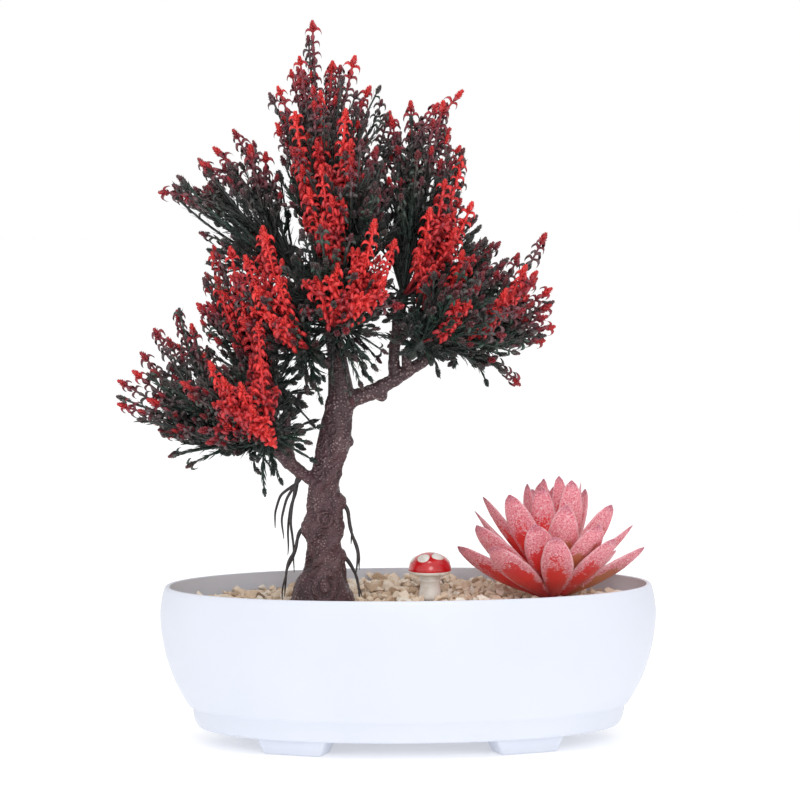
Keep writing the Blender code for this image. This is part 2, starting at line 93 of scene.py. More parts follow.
class Builder:
    """Collects vertices, faces and point attributes, and turns them into one object."""

    def __init__(self, *attributes):
        self.points = []
        self.faces = []
        self.values = {name: [] for name in attributes}
        self.count = 0

    def add(self, points, faces, **values):
        points = np.asarray(points, float).reshape(-1, 3)
        self.points.append(points)
        self.faces.extend([tuple(self.count + i for i in face) for face in faces])
        self.count += len(points)
        for name, rows in self.values.items():
            rows.append(np.broadcast_to(np.asarray(values[name], float), (len(points),)))

    def add_rings(self, rings, caps=(True, True), **values):
        """Rings of equally many points, joined into one skin."""
        self.add(np.concatenate(rings), ring_faces(len(rings), len(rings[0]), *caps), **values)

    def add_tube(self, path, radii, sides, **values):
        self.add(tube_points(path, radii, sides), ring_faces(len(path), sides), **values)

    def make(self, name, smooth=True):
        mesh = bpy.data.meshes.new(name)
        mesh.from_pydata(np.concatenate(self.points).tolist(), [], self.faces)
        mesh.update()
        for key, rows in self.values.items():
            add_attribute(mesh, key, np.concatenate(rows))
        if smooth:
            mesh.shade_smooth()
        return new_object(name, mesh)


def circle(sides):
    """Cosines and sines of evenly spread turns."""
    turns = 2 * np.pi * np.arange(sides) / sides
    return np.cos(turns), np.sin(turns)


def ring_faces(rows, sides, cap_start=True, cap_end=True):
    """Faces of a tube whose vertices are rows of equally many points, in order."""
    faces = []
    for r in range(rows - 1):
        for i in range(sides):
            j = (i + 1) % sides
            faces.append((r * sides + i, r * sides + j, (r + 1) * sides + j, (r + 1) * sides + i))
    if cap_start:
        faces.append(tuple(reversed(range(sides))))
    if cap_end:
        faces.append(tuple((rows - 1) * sides + i for i in range(sides)))
    return faces


def tube_points(path, radii, sides):
    """Rings of points round a path, each ring square to it, without twist."""
    path = np.asarray(path, float)
    ahead = np.gradient(path, axis=0)
    ahead /= np.linalg.norm(ahead, axis=1, keepdims=True)
    side = np.cross(ahead[0], (0.0, 0.0, 1.0) if abs(ahead[0][2]) < 0.9 else (1.0, 0.0, 0.0))
    c, s = circle(sides)
    rings = []
    for centre, along, radius in zip(path, ahead, radii):
        side = side - along * side.dot(along)
        side /= np.linalg.norm(side)
        rings.append(centre + radius * (np.outer(c, side) + np.outer(s, np.cross(along, side))))
    return np.concatenate(rings)


def smooth_path(points, steps):
    """A Catmull-Rom curve through the points, with steps between each two."""
    points = [Vector(p) for p in points]
    ends = [2 * points[0] - points[1], *points, 2 * points[-1] - points[-2]]
    curve = []
    for a, b, c, d in zip(ends, ends[1:], ends[2:], ends[3:]):
        for i in range(steps):
            t = i / steps
            square = (2 * a - 5 * b + 4 * c - d) * t**2
            curve.append(0.5 * (2 * b + (c - a) * t + square + (3 * b - a - 3 * c + d) * t**3))
    curve.append(points[-1])
    return curve


def set_material(made, finish):
    made.data.materials.clear()
    made.data.materials.append(finish)


def place(made, body, nodes, finish):
    """Give a piece its material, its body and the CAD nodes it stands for."""
    set_material(made, finish)
    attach(made, body)
    if nodes:
        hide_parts(*nodes)


def apply_modifiers(made):
    """Bake the object's modifiers into its mesh."""
    graph = bpy.context.evaluated_depsgraph_get()
    mesh = bpy.data.meshes.new_from_object(made.evaluated_get(graph))
    made.modifiers.clear()
    made.data = mesh


# ------------------------------------------------------------------ material helpers


def feed(tree, node, inputs):
    """Set a node's inputs, each from a number, a colour or another node's output."""
    for key, value in inputs.items():
        if isinstance(value, bpy.types.NodeSocket):
            tree.links.new(value, node.inputs[key])
        else:
            node.inputs[key].default_value = value


def add_node(tree, kind, inputs, **properties):
    made = tree.nodes.new(kind)
    for key, value in properties.items():
        setattr(made, key, value)
    feed(tree, made, inputs)
    return made


def map_range(tree, source, low, high, dark, bright):
    inputs = {"Value": source, "From Min": low, "From Max": high, "To Min": dark, "To Max": bright}
    return add_node(tree, "ShaderNodeMapRange", inputs, clamp=True).outputs["Result"]


class Shader:
    """A Principled material with short calls for the nodes it needs."""

    def __init__(self, name, **sockets):
        self.material = bpy.data.materials.new(name)
        self.material.use_nodes = True
        self.tree = self.material.node_tree
        self.set(**sockets)
        self.position = add_node(self.tree, "ShaderNodeTexCoord", {}).outputs["Object"]

    def set(self, **sockets):
        inputs = {key.replace("_", " "): value for key, value in sockets.items()}
        feed(self.tree, self.tree.nodes["Principled BSDF"], inputs)

    def noise(self, scale, detail=3.0, roughness=0.5, distortion=0.0):
        inputs = {"Vector": self.position, "Scale": scale, "Detail": detail}
        inputs.update({"Roughness": roughness, "Distortion": distortion})
        return add_node(self.tree, "ShaderNodeTexNoise", inputs).outputs["Fac"]

    def cells(self, scale):
        inputs = {"Vector": self.position, "Scale": scale}
        return add_node(self.tree, "ShaderNodeTexVoronoi", inputs).outputs["Distance"]

    def attribute(self, name):
        return add_node(self.tree, "ShaderNodeAttribute", {}, attribute_name=name).outputs["Fac"]

    def ramp(self, source, stops):
        made = add_node(self.tree, "ShaderNodeValToRGB", {"Fac": source})
        elements = made.color_ramp.elements
        while len(elements) < len(stops):
            elements.new(0.5)
        for element, (spot, *colour) in zip(elements, stops):
            element.position = spot
            element.color = (*colour, 1)
        return made.outputs["Color"]

    def grey_ramp(self, source, low, high, dark=0.0, bright=1.0):
        return map_range(self.tree, source, low, high, dark, bright)

    def math(self, operation, a, b):
        return add_node(self.tree, "ShaderNodeMath", {0: a, 1: b}, operation=operation).outputs[0]

    def mix(self, share, a, colour, blend="MIX"):
        """Some of a plain colour over another; the numbers are the mix node's colour sockets."""
        kinds = {"data_type": "RGBA", "blend_type": blend}
        b = (*colour, 1) if isinstance(colour, tuple) else colour
        return add_node(self.tree, "ShaderNodeMix", {0: share, 6: a, 7: b}, **kinds).outputs[2]

    def bump(self, height, distance, strength=1.0, after=None):
        inputs = {"Height": height, "Distance": distance, "Strength": strength}
        if after is not None:
            inputs["Normal"] = after
        return add_node(self.tree, "ShaderNodeBump", inputs).outputs["Normal"]

    def finish(self, colour, roughness=None, normal=None):
        links = {"Base_Color": colour, "Roughness": roughness, "Normal": normal}
        self.set(**{key: value for key, value in links.items() if value is not None})
        return self.material


# ------------------------------------------------------------------ materials


def pot_plastic():
    s = Shader("pot_white_plastic", IOR=1.46, Subsurface_Weight=0.08, Subsurface_Scale=0.004)
    s.set(Subsurface_Radius=(1.0, 0.9, 0.8))
    cloud = s.noise(22, 3, 0.5)
    colour = s.ramp(cloud, [(0.3, 0.684, 0.716, 0.806), (0.7, 0.712, 0.742, 0.828)])
    scuff = s.noise(160, 5, 0.65)
    rough = s.grey_ramp(scuff, 0.3, 0.7, 0.34, 0.46)
    ripple = s.bump(s.noise(55, 2, 0.4), 0.00035, 0.5)
    grain = s.bump(s.noise(2600, 2, 0.5), 0.00003, 0.5, ripple)
    return s.finish(colour, rough, grain)


def stone_finish():
    s = Shader("crushed_stone", Specular_IOR_Level=0.3)
    tone = s.attribute("tone")
    base = s.ramp(tone, [
        (0.0, 0.300, 0.205, 0.140), (0.18, 0.520, 0.380, 0.275), (0.42, 0.790, 0.630, 0.480),
        (0.72, 0.930, 0.800, 0.660), (1.0, 0.980, 0.930, 0.850),
    ])
    veins = s.noise(520, 6, 0.65, 0.6)
    colour = s.mix(s.grey_ramp(veins, 0.35, 0.68, 0.0, 0.5), base, (0.86, 0.76, 0.64), "MULTIPLY")
    specks = s.cells(1500)
    colour = s.mix(s.grey_ramp(specks, 0.10, 0.22, 0.45, 0.0), colour, (0.20, 0.13, 0.085))
    chips = s.bump(s.noise(900, 6, 0.7), 0.00035, 0.8)
    return s.finish(colour, s.grey_ramp(veins, 0.3, 0.7, 0.72, 0.95), chips)


def bark_finish():
    s = Shader("bark_plastic", Specular_IOR_Level=0.6, Coat_Weight=0.15, Coat_Roughness=0.3)
    broad = s.noise(75, 4, 0.6, 0.8)
    base = s.ramp(broad, [
        (0.30, 0.044, 0.018, 0.024), (0.50, 0.084, 0.032, 0.041), (0.68, 0.125, 0.062, 0.070),
        (0.80, 0.170, 0.100, 0.108),
    ])
    # Painted shade: the wood darkens above 112 mm, where it runs up under the crown
    crown_shade = s.grey_ramp(s.attribute("height"), 0.112, 0.150, 0.0, 0.62)
    base = s.mix(crown_shade, base, (0.034, 0.017, 0.021))
    # Small raised grains carry a painted pinkish sheen, in drifts: painted highlights on the grains
    grains = s.cells(800)
    drift = s.noise(110, 4, 0.6)
    grain_glint = s.grey_ramp(grains, 0.18, 0.46, 1.0, 0.0)
    sheen = s.math("MULTIPLY", grain_glint, s.grey_ramp(drift, 0.40, 0.62, 0.22, 0.90))
    colour = s.mix(sheen, base, (0.46, 0.320, 0.330))
    # Painted shade: the wood darkens in the sunken grooves of the fibres and round the knots
    hollow_shade = s.grey_ramp(s.attribute("hollow_shade"), 0.0, 1.0, 0.0, 0.8)
    colour = s.mix(hollow_shade, colour, (0.018, 0.008, 0.011))
    stipple = s.bump(s.grey_ramp(grains, 0.1, 0.55, 1.0, 0.0), 0.0007, 0.9)
    fine = s.bump(s.noise(1600, 4, 0.65), 0.0003, 0.6, stipple)
    return s.finish(colour, s.grey_ramp(grains, 0.1, 0.5, 0.34, 0.6), fine)


def root_finish():
    s = Shader("aerial_root_plastic", Specular_IOR_Level=0.5)
    streak = s.noise(420, 4, 0.6, 0.5)
    stops = [(0.3, 0.020, 0.016, 0.017), (0.6, 0.045, 0.036, 0.038), (0.8, 0.090, 0.070, 0.072)]
    rough = s.grey_ramp(streak, 0.3, 0.7, 0.45, 0.65)
    return s.finish(s.ramp(streak, stops), rough, s.bump(streak, 0.0003, 0.6))


def foliage_finish():
    s = Shader("moulded_leaf_plastic", Specular_IOR_Level=0.5)
    ripe = s.attribute("ripe")
    vary = s.noise(240, 3, 0.6)
    ripe = s.math("ADD", ripe, s.grey_ramp(vary, 0.25, 0.75, -0.06, 0.06))
    colour = s.ramp(ripe, [
        (0.00, 0.012, 0.017, 0.016), (0.16, 0.044, 0.058, 0.052), (0.34, 0.115, 0.076, 0.082),
        (0.48, 0.180, 0.030, 0.046), (0.64, 0.360, 0.026, 0.040), (0.82, 0.700, 0.028, 0.032),
        (1.00, 0.930, 0.046, 0.040),
    ])
    colour = s.mix(s.attribute("green"), colour, (0.018, 0.085, 0.055))
    mottle = s.noise(1400, 3, 0.6)
    # Pale mottle: partly the paint's own speckle, partly painted highlights
    speck_and_highlight = s.grey_ramp(mottle, 0.55, 0.75, 0.0, 0.34)
    colour = s.mix(speck_and_highlight, colour, (0.42, 0.34, 0.33))
    return s.finish(colour, s.grey_ramp(mottle, 0.3, 0.7, 0.42, 0.56), s.bump(mottle, 0.00018, 0.5))


def succulent_finish():
    s = Shader("frosted_leaf", Specular_IOR_Level=0.4, Sheen_Weight=0.08, Sheen_Roughness=0.4)
    along = s.attribute("along")
    rim = s.attribute("rim")
    blush = s.attribute("blush")
    tip = (1.0, 0.160, 0.020, 0.060)
    reds = [(0.0, 0.460, 0.024, 0.030), (0.45, 0.930, 0.035, 0.022), (0.8, 0.720, 0.040, 0.060), tip]
    tans = [(0.0, 0.520, 0.090, 0.045), (0.45, 0.620, 0.215, 0.085), (0.9, 0.560, 0.090, 0.090), tip]
    bare = s.mix(s.grey_ramp(blush, 0.45, 0.55), s.ramp(along, reds), s.ramp(along, tans))
    grains = s.noise(1500, 3, 0.8)
    patch = s.noise(150, 5, 0.68, 0.5)
    # Frost lies everywhere but on a patch up the middle of the leaf, whose edge is ragged
    cover = s.grey_ramp(patch, 0.3, 0.7, -0.75, 0.75)
    cover = s.math("ADD", cover, s.grey_ramp(along, 0.42, 0.90, -0.80, 0.85))
    cover = s.math("ADD", cover, s.grey_ramp(rim, 0.45, 0.85, 0.0, 1.1))
    cover = s.math("ADD", cover, s.grey_ramp(grains, 0.35, 0.65, -0.35, 0.35))
    frost = s.grey_ramp(cover, -0.08, 0.08, 0.05, 0.95)
    rosy = s.ramp(grains, [
        (0.36, 0.640, 0.085, 0.130), (0.48, 0.880, 0.280, 0.340), (0.58, 0.940, 0.480, 0.530),
        (0.68, 1.0, 0.84, 0.87),
    ])
    rosy = s.mix(s.grey_ramp(along, 0.90, 1.0, 0.0, 0.55), rosy, (0.240, 0.030, 0.090))
    rosy = s.mix(s.grey_ramp(rim, 0.84, 1.0, 0.0, 0.55), rosy, (0.98, 0.68, 0.72))
    colour = s.mix(frost, bare, rosy)
    bump = s.bump(grains, 0.0005, 0.9)
    return s.finish(colour, s.grey_ramp(cover, -0.1, 0.1, 0.36, 0.85), bump)


def cap_finish():
    s = Shader("glossy_red_paint", Coat_Weight=0.9, Coat_Roughness=0.06, Specular_IOR_Level=0.5)
    cloud = s.noise(260, 3, 0.5)
    colour = s.ramp(cloud, [(0.3, 0.560, 0.003, 0.008), (0.7, 0.700, 0.006, 0.012)])
    return s.finish(colour, s.grey_ramp(cloud, 0.3, 0.7, 0.22, 0.3), s.bump(cloud, 0.0002, 0.35))


def cream_finish():
    s = Shader("cream_plastic", Specular_IOR_Level=0.5, Coat_Weight=0.3, Coat_Roughness=0.2)
    cloud = s.noise(300, 4, 0.55)
    stops = [(0.28, 0.72, 0.65, 0.56), (0.5, 0.88, 0.84, 0.78), (0.75, 0.93, 0.91, 0.88)]
    rough = s.grey_ramp(cloud, 0.3, 0.7, 0.32, 0.46)
    return s.finish(s.ramp(cloud, stops), rough, s.bump(cloud, 0.0003, 0.4))


def foam_finish():
    s = Shader("florist_foam", Roughness=0.95)
    cells = s.cells(1400)
    colour = s.ramp(cells, [(0.0, 0.06, 0.13, 0.065), (0.6, 0.15, 0.28, 0.15)])
    return s.finish(colour, normal=s.bump(cells, 0.0004, 0.8))


def floor_finish():
    s = Shader("studio_floor", Roughness=0.85, Specular_IOR_Level=0.1, Emission_Strength=0.26)
    s.set(Emission_Color=(1, 1, 1, 1))
    return s.finish(s.ramp(s.noise(3, 2, 0.5), [(0.3, 0.94, 0.94, 0.94), (0.7, 0.96, 0.96, 0.96)]))


# ------------------------------------------------------------------ pot


# (half-length, height) up the outside of the pot, in millimetres: base edge, step, belly and rim
OUTER_WALL = [
    (81.5, 6.3), (84.4, 6.9), (86.0, 8.8), (86.9, 11.6), (87.3, 14.4),
    (88.2, 15.2), (89.3, 16.4),
    (92.0, 21.0), (94.9, 27.0), (97.6, 35.0), (99.4, 44.0), (100.0, 52.5), (99.2, 59.0),
    (98.4, 62.4), (97.9, 63.3),
]
INNER_HEIGHTS = (62.6, 60, 56, 50, 44, 38, 32, 25, 20, 16, 12, 9.6)  # from the lip down to the inside floor
FOOT_EDGE = 84.4  # half-length of the oval that the feet follow
# (width, depth, inset, height) of a foot's sole and of its top
FOOT_ENDS = ((24, 11, 1.2, 0), (30, 14, 0, 7.35))


def inner_half_length(z):
    for (a, low), (b, high) in zip(OUTER_WALL, OUTER_WALL[1:]):
        if low <= z <= high:
            return a + (b - a) * (z - low) / (high - low) - POT_WALL
    return OUTER_WALL[-1][0] - POT_WALL


def oval(half_length, z, sides):
    """Points of the pot's oval at a height, in metres."""
    c, s = circle(sides)
    power = 2 / POT_OVAL_POWER
    x = half_length * np.sign(c) * np.abs(c) ** power
    y = half_length * POT_DEPTH_RATIO * np.sign(s) * np.abs(s) ** power
    return np.stack([(POT_X + x) * MM, y * MM, np.full(sides, z * MM)], axis=1)


def oval_share(x, y, half_length):
    """0 at the middle of the oval, 1 at its edge; x and y in millimetres from the pot's middle."""
    u = abs(x / half_length) ** POT_OVAL_POWER
    v = abs(y / (half_length * POT_DEPTH_RATIO)) ** POT_OVAL_POWER
    return (u + v) ** (1 / POT_OVAL_POWER)


def foot_block(side_x, side_y):
    """A block that tapers to its sole, turned to follow the oval."""
    share = FOOT_X / FOOT_EDGE
    rise = math.sqrt(1 - share**2)
    turn = math.atan2(POT_DEPTH_RATIO * share, rise)
    along = Vector((math.cos(turn), math.sin(turn), 0))
    inward = Vector((-math.sin(turn), math.cos(turn), 0))
    outer = Vector((FOOT_X, -FOOT_EDGE * POT_DEPTH_RATIO * rise, 0)) + inward * 2.5
    bm = bmesh.new()
    verts = []
    for width, depth, inset, z in FOOT_ENDS:
        for u, v in ((-0.5, 0), (0.5, 0), (0.5, 1), (-0.5, 1)):
            p = outer + along * (u * width) + inward * (inset + v * depth) + Vector((0, 0, z))
            verts.append(bm.verts.new(at(side_x * p.x, -side_y * p.y, p.z)))
    for face in ring_faces(2, 4):
        bm.faces.new([verts[i] for i in face])
    bmesh.ops.recalc_face_normals(bm, faces=bm.faces)
    bmesh.ops.bevel(bm, geom=bm.edges[:], offset=1.0 * MM, segments=4, affect="EDGES", profile=0.5)
    return bm


def make_pot(finish):
    rows = [oval(p.x, p.z, POT_SIDES) for p in smooth_path([(a, 0, z) for a, z in OUTER_WALL], 4)]
    lip_a, lip_z = OUTER_WALL[-1]
    for k in range(1, 6):  # the rounded lip
        turn = math.pi * k / 6
        half = lip_a - POT_WALL / 2 + POT_WALL / 2 * math.cos(turn)
        rows.append(oval(half, lip_z + 0.45 * math.sin(turn), POT_SIDES))
    for z in INNER_HEIGHTS:
        rows.append(oval(inner_half_length(z), z, POT_SIDES))
    rows.append(oval(inner_half_length(INNER_HEIGHTS[-1]) - 2.5, 8.4, POT_SIDES))
    builder = Builder()
    builder.add_rings(rows)
    body = builder.make("pot_body")
    feet = []
    for number, (side_x, side_y) in enumerate(((-1, -1), (-1, 1), (1, -1), (1, 1))):
        bm = foot_block(side_x, side_y)
        mesh = bpy.data.meshes.new(f"foot_{number}")
        bm.to_mesh(mesh)
        bm.free()
        feet.append(new_object(mesh.name, mesh))
        join = body.modifiers.new(mesh.name, "BOOLEAN")
        join.operation = "UNION"
        join.solver = "EXACT"
        join.object = feet[-1]
    bpy.context.view_layer.update()
    apply_modifiers(body)
    for foot in feet:
        bpy.data.objects.remove(foot, do_unlink=True)
    body.data.shade_smooth()
    body.data.set_sharp_from_angle(angle=math.radians(35))
    place(body, ROOT, ["pot"], finish)


# ------------------------------------------------------------------ gravel

# Each layer's stones: count, lowest and highest middle, smallest and largest size, reach towards the wall
GRAVEL_LAYERS = (
    (1200, 52.0, 54.0, 2.2, 3.6, 1.0),
    (950, 54.0, 56.2, 1.9, 3.5, 0.99),
    (330, 56.2, 57.8, 1.7, 3.5, 0.96),
)
HIDDEN_Z = 54.6  # stones below this keep their plain hulls
# (x, y, size) of the larger stones
LARGE_STONES = (
    (-62, 12, 4.4), (-14, 20, 4.2), (-4, 12, 4.6), (22, 17, 4.5), (30, -16, 3.9), (-70, -10, 3.7),
    (-18, -24, 3.4), (2, -22, 3.2), (14, 12, 4.1), (-52, -22, 3.3), (36, 22, 3.8), (-8, 26, 3.6),
    (20, -24, 3.3), (-78, 4, 3.6), (78, -12, 3.4), (76, 12, 3.4),
)
# (x, y, radius) of what the stones leave free: the trunk's foot and both picks
CLEARINGS = ((-34.5, -5.0, 12.6), (SUCCULENT_X, 0, 3.4), (MUSHROOM_X, 0, 5.0))
HULL_POINTS = 13
GRID = 5  # side of the cells in which close stones are looked for
STONE_TURNS = ((0, 2 * math.pi, "Z"), (-0.6, 0.6, "X"), (-0.5, 0.5, "Y"))


def stone_shapes(count, uneven, worn):
    """Broken-stone shapes of about unit size: hulls of a few random points, with worn edges if asked."""
    shapes = []
    for _ in range(count):
        bm = bmesh.new()
        stretch = Vector((uneven.uniform(0.9, 1.3), uneven.uniform(0.7, 1.0), uneven.uniform(0.5, 0.8)))
        for _ in range(HULL_POINTS):
            spot = Vector([uneven.gauss(0, 1) for _ in range(3)]).normalized() * uneven.uniform(0.82, 1.08)
            bm.verts.new(spot * stretch)
        hull = bmesh.ops.convex_hull(bm, input=bm.verts)
        spare = set(hull["geom_interior"] + hull["geom_unused"]).intersection(bm.verts)
        bmesh.ops.delete(bm, geom=list(spare), context="VERTS")
        if worn:
            bmesh.ops.bevel(bm, geom=bm.edges[:], offset=0.11, segments=1, affect="EDGES", clamp_overlap=True)
        bmesh.ops.triangulate(bm, faces=bm.faces)
        bmesh.ops.recalc_face_normals(bm, faces=bm.faces)
        for vert in bm.verts:
            dent = noise.noise(vert.co * 3.1 + Vector((HULL_POINTS - 1, 0, 0)))
            vert.co += vert.normal * 0.07 * dent
        bm.verts.index_update()
        points = np.array([v.co[:] for v in bm.verts])
        faces = [tuple(v.index for v in face.verts) for face in bm.faces]
        shapes.append((points, faces))
        bm.free()
    return shapes


def gravel_clear(x, y, size):
    """Whether a stone here keeps clear of the trunk and the picks."""
    return all(math.hypot(x - cx, y - cy) >= radius + size * 0.75 for cx, cy, radius in CLEARINGS)


def mound(x, y):
    """How much higher the bed lies between the trunk and the mushroom, and towards the back."""
    return (1.6 + 0.05 * max(0.0, y)) * hump(x, 6, 36) + 0.4


def make_gravel(finish):
    """A bed of crushed stones in a glued layer, with a few larger ones on top."""
    uneven = random.Random(21)
    plain = stone_shapes(12, uneven, False)
    broken = stone_shapes(18, uneven, True)
    edge = inner_half_length(GRAVEL_Z) - 0.5
    placed = []
    for count, low, high, small, large, reach in GRAVEL_LAYERS:
        made = 0
        tries = 0
        cells = {}
        while made < count and tries < count * 30:
            tries += 1
            x = uneven.uniform(-edge, edge)
            y = uneven.uniform(-edge, edge) * POT_DEPTH_RATIO
            size = small + (large - small) * uneven.random() ** 1.6
            if oval_share(x, y, edge - size * 0.75) > reach or not gravel_clear(x, y, size):
                continue
            column, row = int(x // GRID), int(y // GRID)
            near = [s for i in (-1, 0, 1) for j in (-1, 0, 1) for s in cells.get((column + i, row + j), ())]
            if any(math.hypot(x - a, y - b) < 0.66 * (size + c) for a, b, c in near):
                continue
            cells.setdefault((column, row), []).append((x, y, size))
            placed.append((x, y, uneven.uniform(low, high) + mound(x, y), size))
            made += 1
    placed += [(x, y, 57.4 + mound(x, y), size) for x, y, size in LARGE_STONES]
    builder = Builder("tone")
    for x, y, z, size in placed:
        points, faces = uneven.choice(plain if z < HIDDEN_Z else broken)
        turn, tip, roll = [Matrix.Rotation(uneven.uniform(a, b), 3, axis) for a, b, axis in STONE_TURNS]
        matrix = np.array(turn @ (tip @ roll)) * size * MM
        tone = min(1.0, max(0.0, uneven.gauss(0.68, 0.20)))
        builder.add(points @ matrix.T + np.array(at(x, y, z)), faces, tone=tone)
    glue = ((edge, 49.9), (edge, 52.8), (edge * 0.5, 53.4), (2, 53.4))
    builder.add_rings([oval(half_length, z, 96) for half_length, z in glue], tone=0.08)
    gravel = builder.make("gravel_stones", smooth=False)
    nodes = ["gravel_bed"] + [f"stone_{n}" for n in range(1, 7)]
    place(gravel, ROOT, nodes, finish)


# ------------------------------------------------------------------ trunk and roots

# (x, y, z, radius) up the trunk and leader
TRUNK_AXIS = [
    (-34.5, -5.0, 51.0, 13.6), (-34.6, -5.0, 57.0, 12.9), (-34.4, -5.0, 63.5, 11.4),
    (-33.0, -5.0, 70.5, 7.6), (-33.3, -4.8, 79.0, 6.7), (-34.3, -4.6, 87.5, 7.6),
    (-33.4, -4.4, 93.5, 6.9), (-33.9, -4.0, 103.0, 6.1), (-31.6, -3.6, 114.0, 5.8),
    (-29.2, -3.2, 122.0, 6.6), (-28.2, -2.8, 131.0, 5.8), (-26.6, -2.2, 140.0, 5.2),
    (-27.6, -1.6, 151.0, 4.2), (-29.2, -1.2, 163.0, 3.5), (-30.6, -0.6, 176.0, 3.0),
    (-31.2, 0.0, 187.0, 2.4),
]
# (points, first radius, last radius) of the right limb, the left limb, the fork and the left limb's upright
LIMBS = [
    ([
        (-27, -3, 136.5), (-21, -2.4, 139.2), (-14.7, -1.8, 141.4),
        (-6.7, -1, 145.4), (-0.2, 0, 149.4), (9.4, 0, 155.4),
    ], 3.7, 2.3),
    ([(-33, -3.4, 104.0), (-38, -3, 106.6), (-43.6, -2.4, 109.8), (-51, -2, 116.6)], 3.5, 2.4),
    ([(-5, -0.6, 146.5), (-5.2, 0, 156), (-3.8, 0, 170)], 2.5, 2.0),
    ([(-47, -2, 112.5), (-48.6, -1.4, 121), (-48.4, -1, 132.5)], 2.3, 1.8),
]
# (first height, last height, first turn, turns, radius) of the welts that climb the trunk
WELTS = [
    (74, 104, -3.0, 0.50, 2.5), (86, 122, -3.3, 0.50, 2.3), (66, 94, -2.9, 0.55, 2.4),
    (98, 136, -2.8, 0.45, 2.0), (58, 78, -2.5, 0.30, 2.2), (56, 84, 1.4, 0.50, 2.2),
    (62, 112, 2.4, 0.60, 2.0), (76, 100, 0.4, 0.40, 2.0), (112, 146, -2.2, 0.35, 1.6),
]
WELT_STEPS = 24
# (x, y, z, radius) of swellings in the wood
BURLS = [
    (-24.4, -3.6, 122, 3.0), (-10.6, -1.4, 140.6, 2.8), (-39.0, -5.5, 87, 4.2), (-28.6, -5.5, 98, 3.9),
    (-28.8, -5, 76, 3.9),
]
# (x, y, z, half-width, half-height) of each knot on the front of the bark
KNOTS = [
    (-33.6, -15.5, 65.0, 4.0, 5.6), (-33.4, -11.8, 91.5, 2.5, 2.8), (-35.5, -10.0, 110.0, 1.7, 2.2),
    (-30.0, -9.8, 127.0, 1.6, 2.4),
]
BARK_VOXEL = 0.42 * MM
BARK_TOP = 140 * MM  # the bark is smoother above this height


def trunk_centre(z):
    """The trunk's middle and radius at a height, in millimetres."""
    for a, b in zip(TRUNK_AXIS, TRUNK_AXIS[1:]):
        if a[2] <= z <= b[2]:
            t = (z - a[2]) / (b[2] - a[2])
            return [a[i] + (b[i] - a[i]) * t for i in (0, 1, 3)]
    x, y, _, radius = TRUNK_AXIS[-1]
    return [x, y, radius]


# name: (where its stub leaves the wood, length, spread in degrees, redness of its tips)
SPRAYS = {
    "left_low": ((-49, -2, 114.8), 57, 28, 0.62),
    "left_tall": ((-48.5, -1, 131), 60, 21, 0.80),
    "left_front": ((-48.6, -2, 117), 46, 26, 0.62),
    "left_back": ((-48.6, -1, 118), 46, 26, 0.70),
    "middle_left": ((-29, -1.4, 152), 40, 25, 0.66),
    "upper_left": ((-30.8, -0.4, 179), 69, 17, 0.56),
    "top": ((-31.2, 0, 185), 87, 16, 0.82),
    "front": ((-28.8, -1.2, 159), 52, 25, 0.42),
    "back": ((-29.0, -1.2, 160), 50, 24, 0.80),
    "upper_front": ((-30.4, -0.6, 174), 58, 17, 0.52),
    "upper_back": ((-30.4, -0.6, 174), 58, 17, 0.74),
    "middle_right": ((-4.6, 0, 162), 45, 18, 0.60),
    "upper_right": ((-3.8, 0, 169), 80, 17, 0.74),
    "right": ((6.0, 0, 153.2), 43, 30, 0.62),
    "right_front": ((0, 0, 150), 46, 25, 0.48),
    "right_back": ((0, 0, 150), 46, 25, 0.60),
}

# Where chosen shoots end, (x, y, z): plumes are leafy and bright most of the way, tips are bare stems with
# a red end, and sprigs are short and dark. Two more numbers shift the stem's bend sideways and up.
PLUMES = {
    "back": [(-40, 40, 188), (-30, 42, 198), (-20, 42, 190), (-14, 38, 203), (-26, 44, 182)],
    "upper_back": [(-36, 28, 234), (-28, 32, 224), (-42, 30, 216)],
    "right_back": [(18, 36, 186), (30, 34, 180), (40, 28, 172)],
    "left_back": [(-84, 34, 156), (-72, 38, 148), (-64, 36, 162), (-78, 32, 140)],
    "upper_front": [(-34, -30, 233), (-39, -27, 224), (-30, -32, 221), (-34, -34, 212)],
    "front": [
        (-13, -38, 212), (-5, -36, 204), (-28, -42, 195), (-35, -40, 188), (-9, -42, 190),
        (-18, -43, 184), (-17, -36, 199),
    ],
    "middle_left": [(-56, -34, 207), (-64, -32, 198), (-51, -38, 190), (-60, -36, 186), (-55, -40, 176)],
    "left_tall": [(-57, -18, 209), (-70, -18, 201), (-67, -24, 189), (-75, -16, 186)],
    "left_front": [
        (-78, -38, 157), (-73, -41, 151), (-66, -43, 149), (-71, -42, 143), (-62, -45, 140),
        (-56, -44, 132), (-59, -34, 172), (-74, -34, 134), (-58, -38, 158),
    ],
    "upper_right": [(22, -12, 236), (15, -22, 227), (26, -14, 218), (9, -24, 216), (19, -20, 208)],
    "middle_right": [(4, -26, 199), (22, -18, 199)],
    "right_front": [(24, -34, 180)],
    "right": [(47, -18, 193), (39, -24, 184)],
    "top": [(-34, -14, 262), (-24, -20, 255), (-22, -22, 243), (-44, -16, 254)],
}
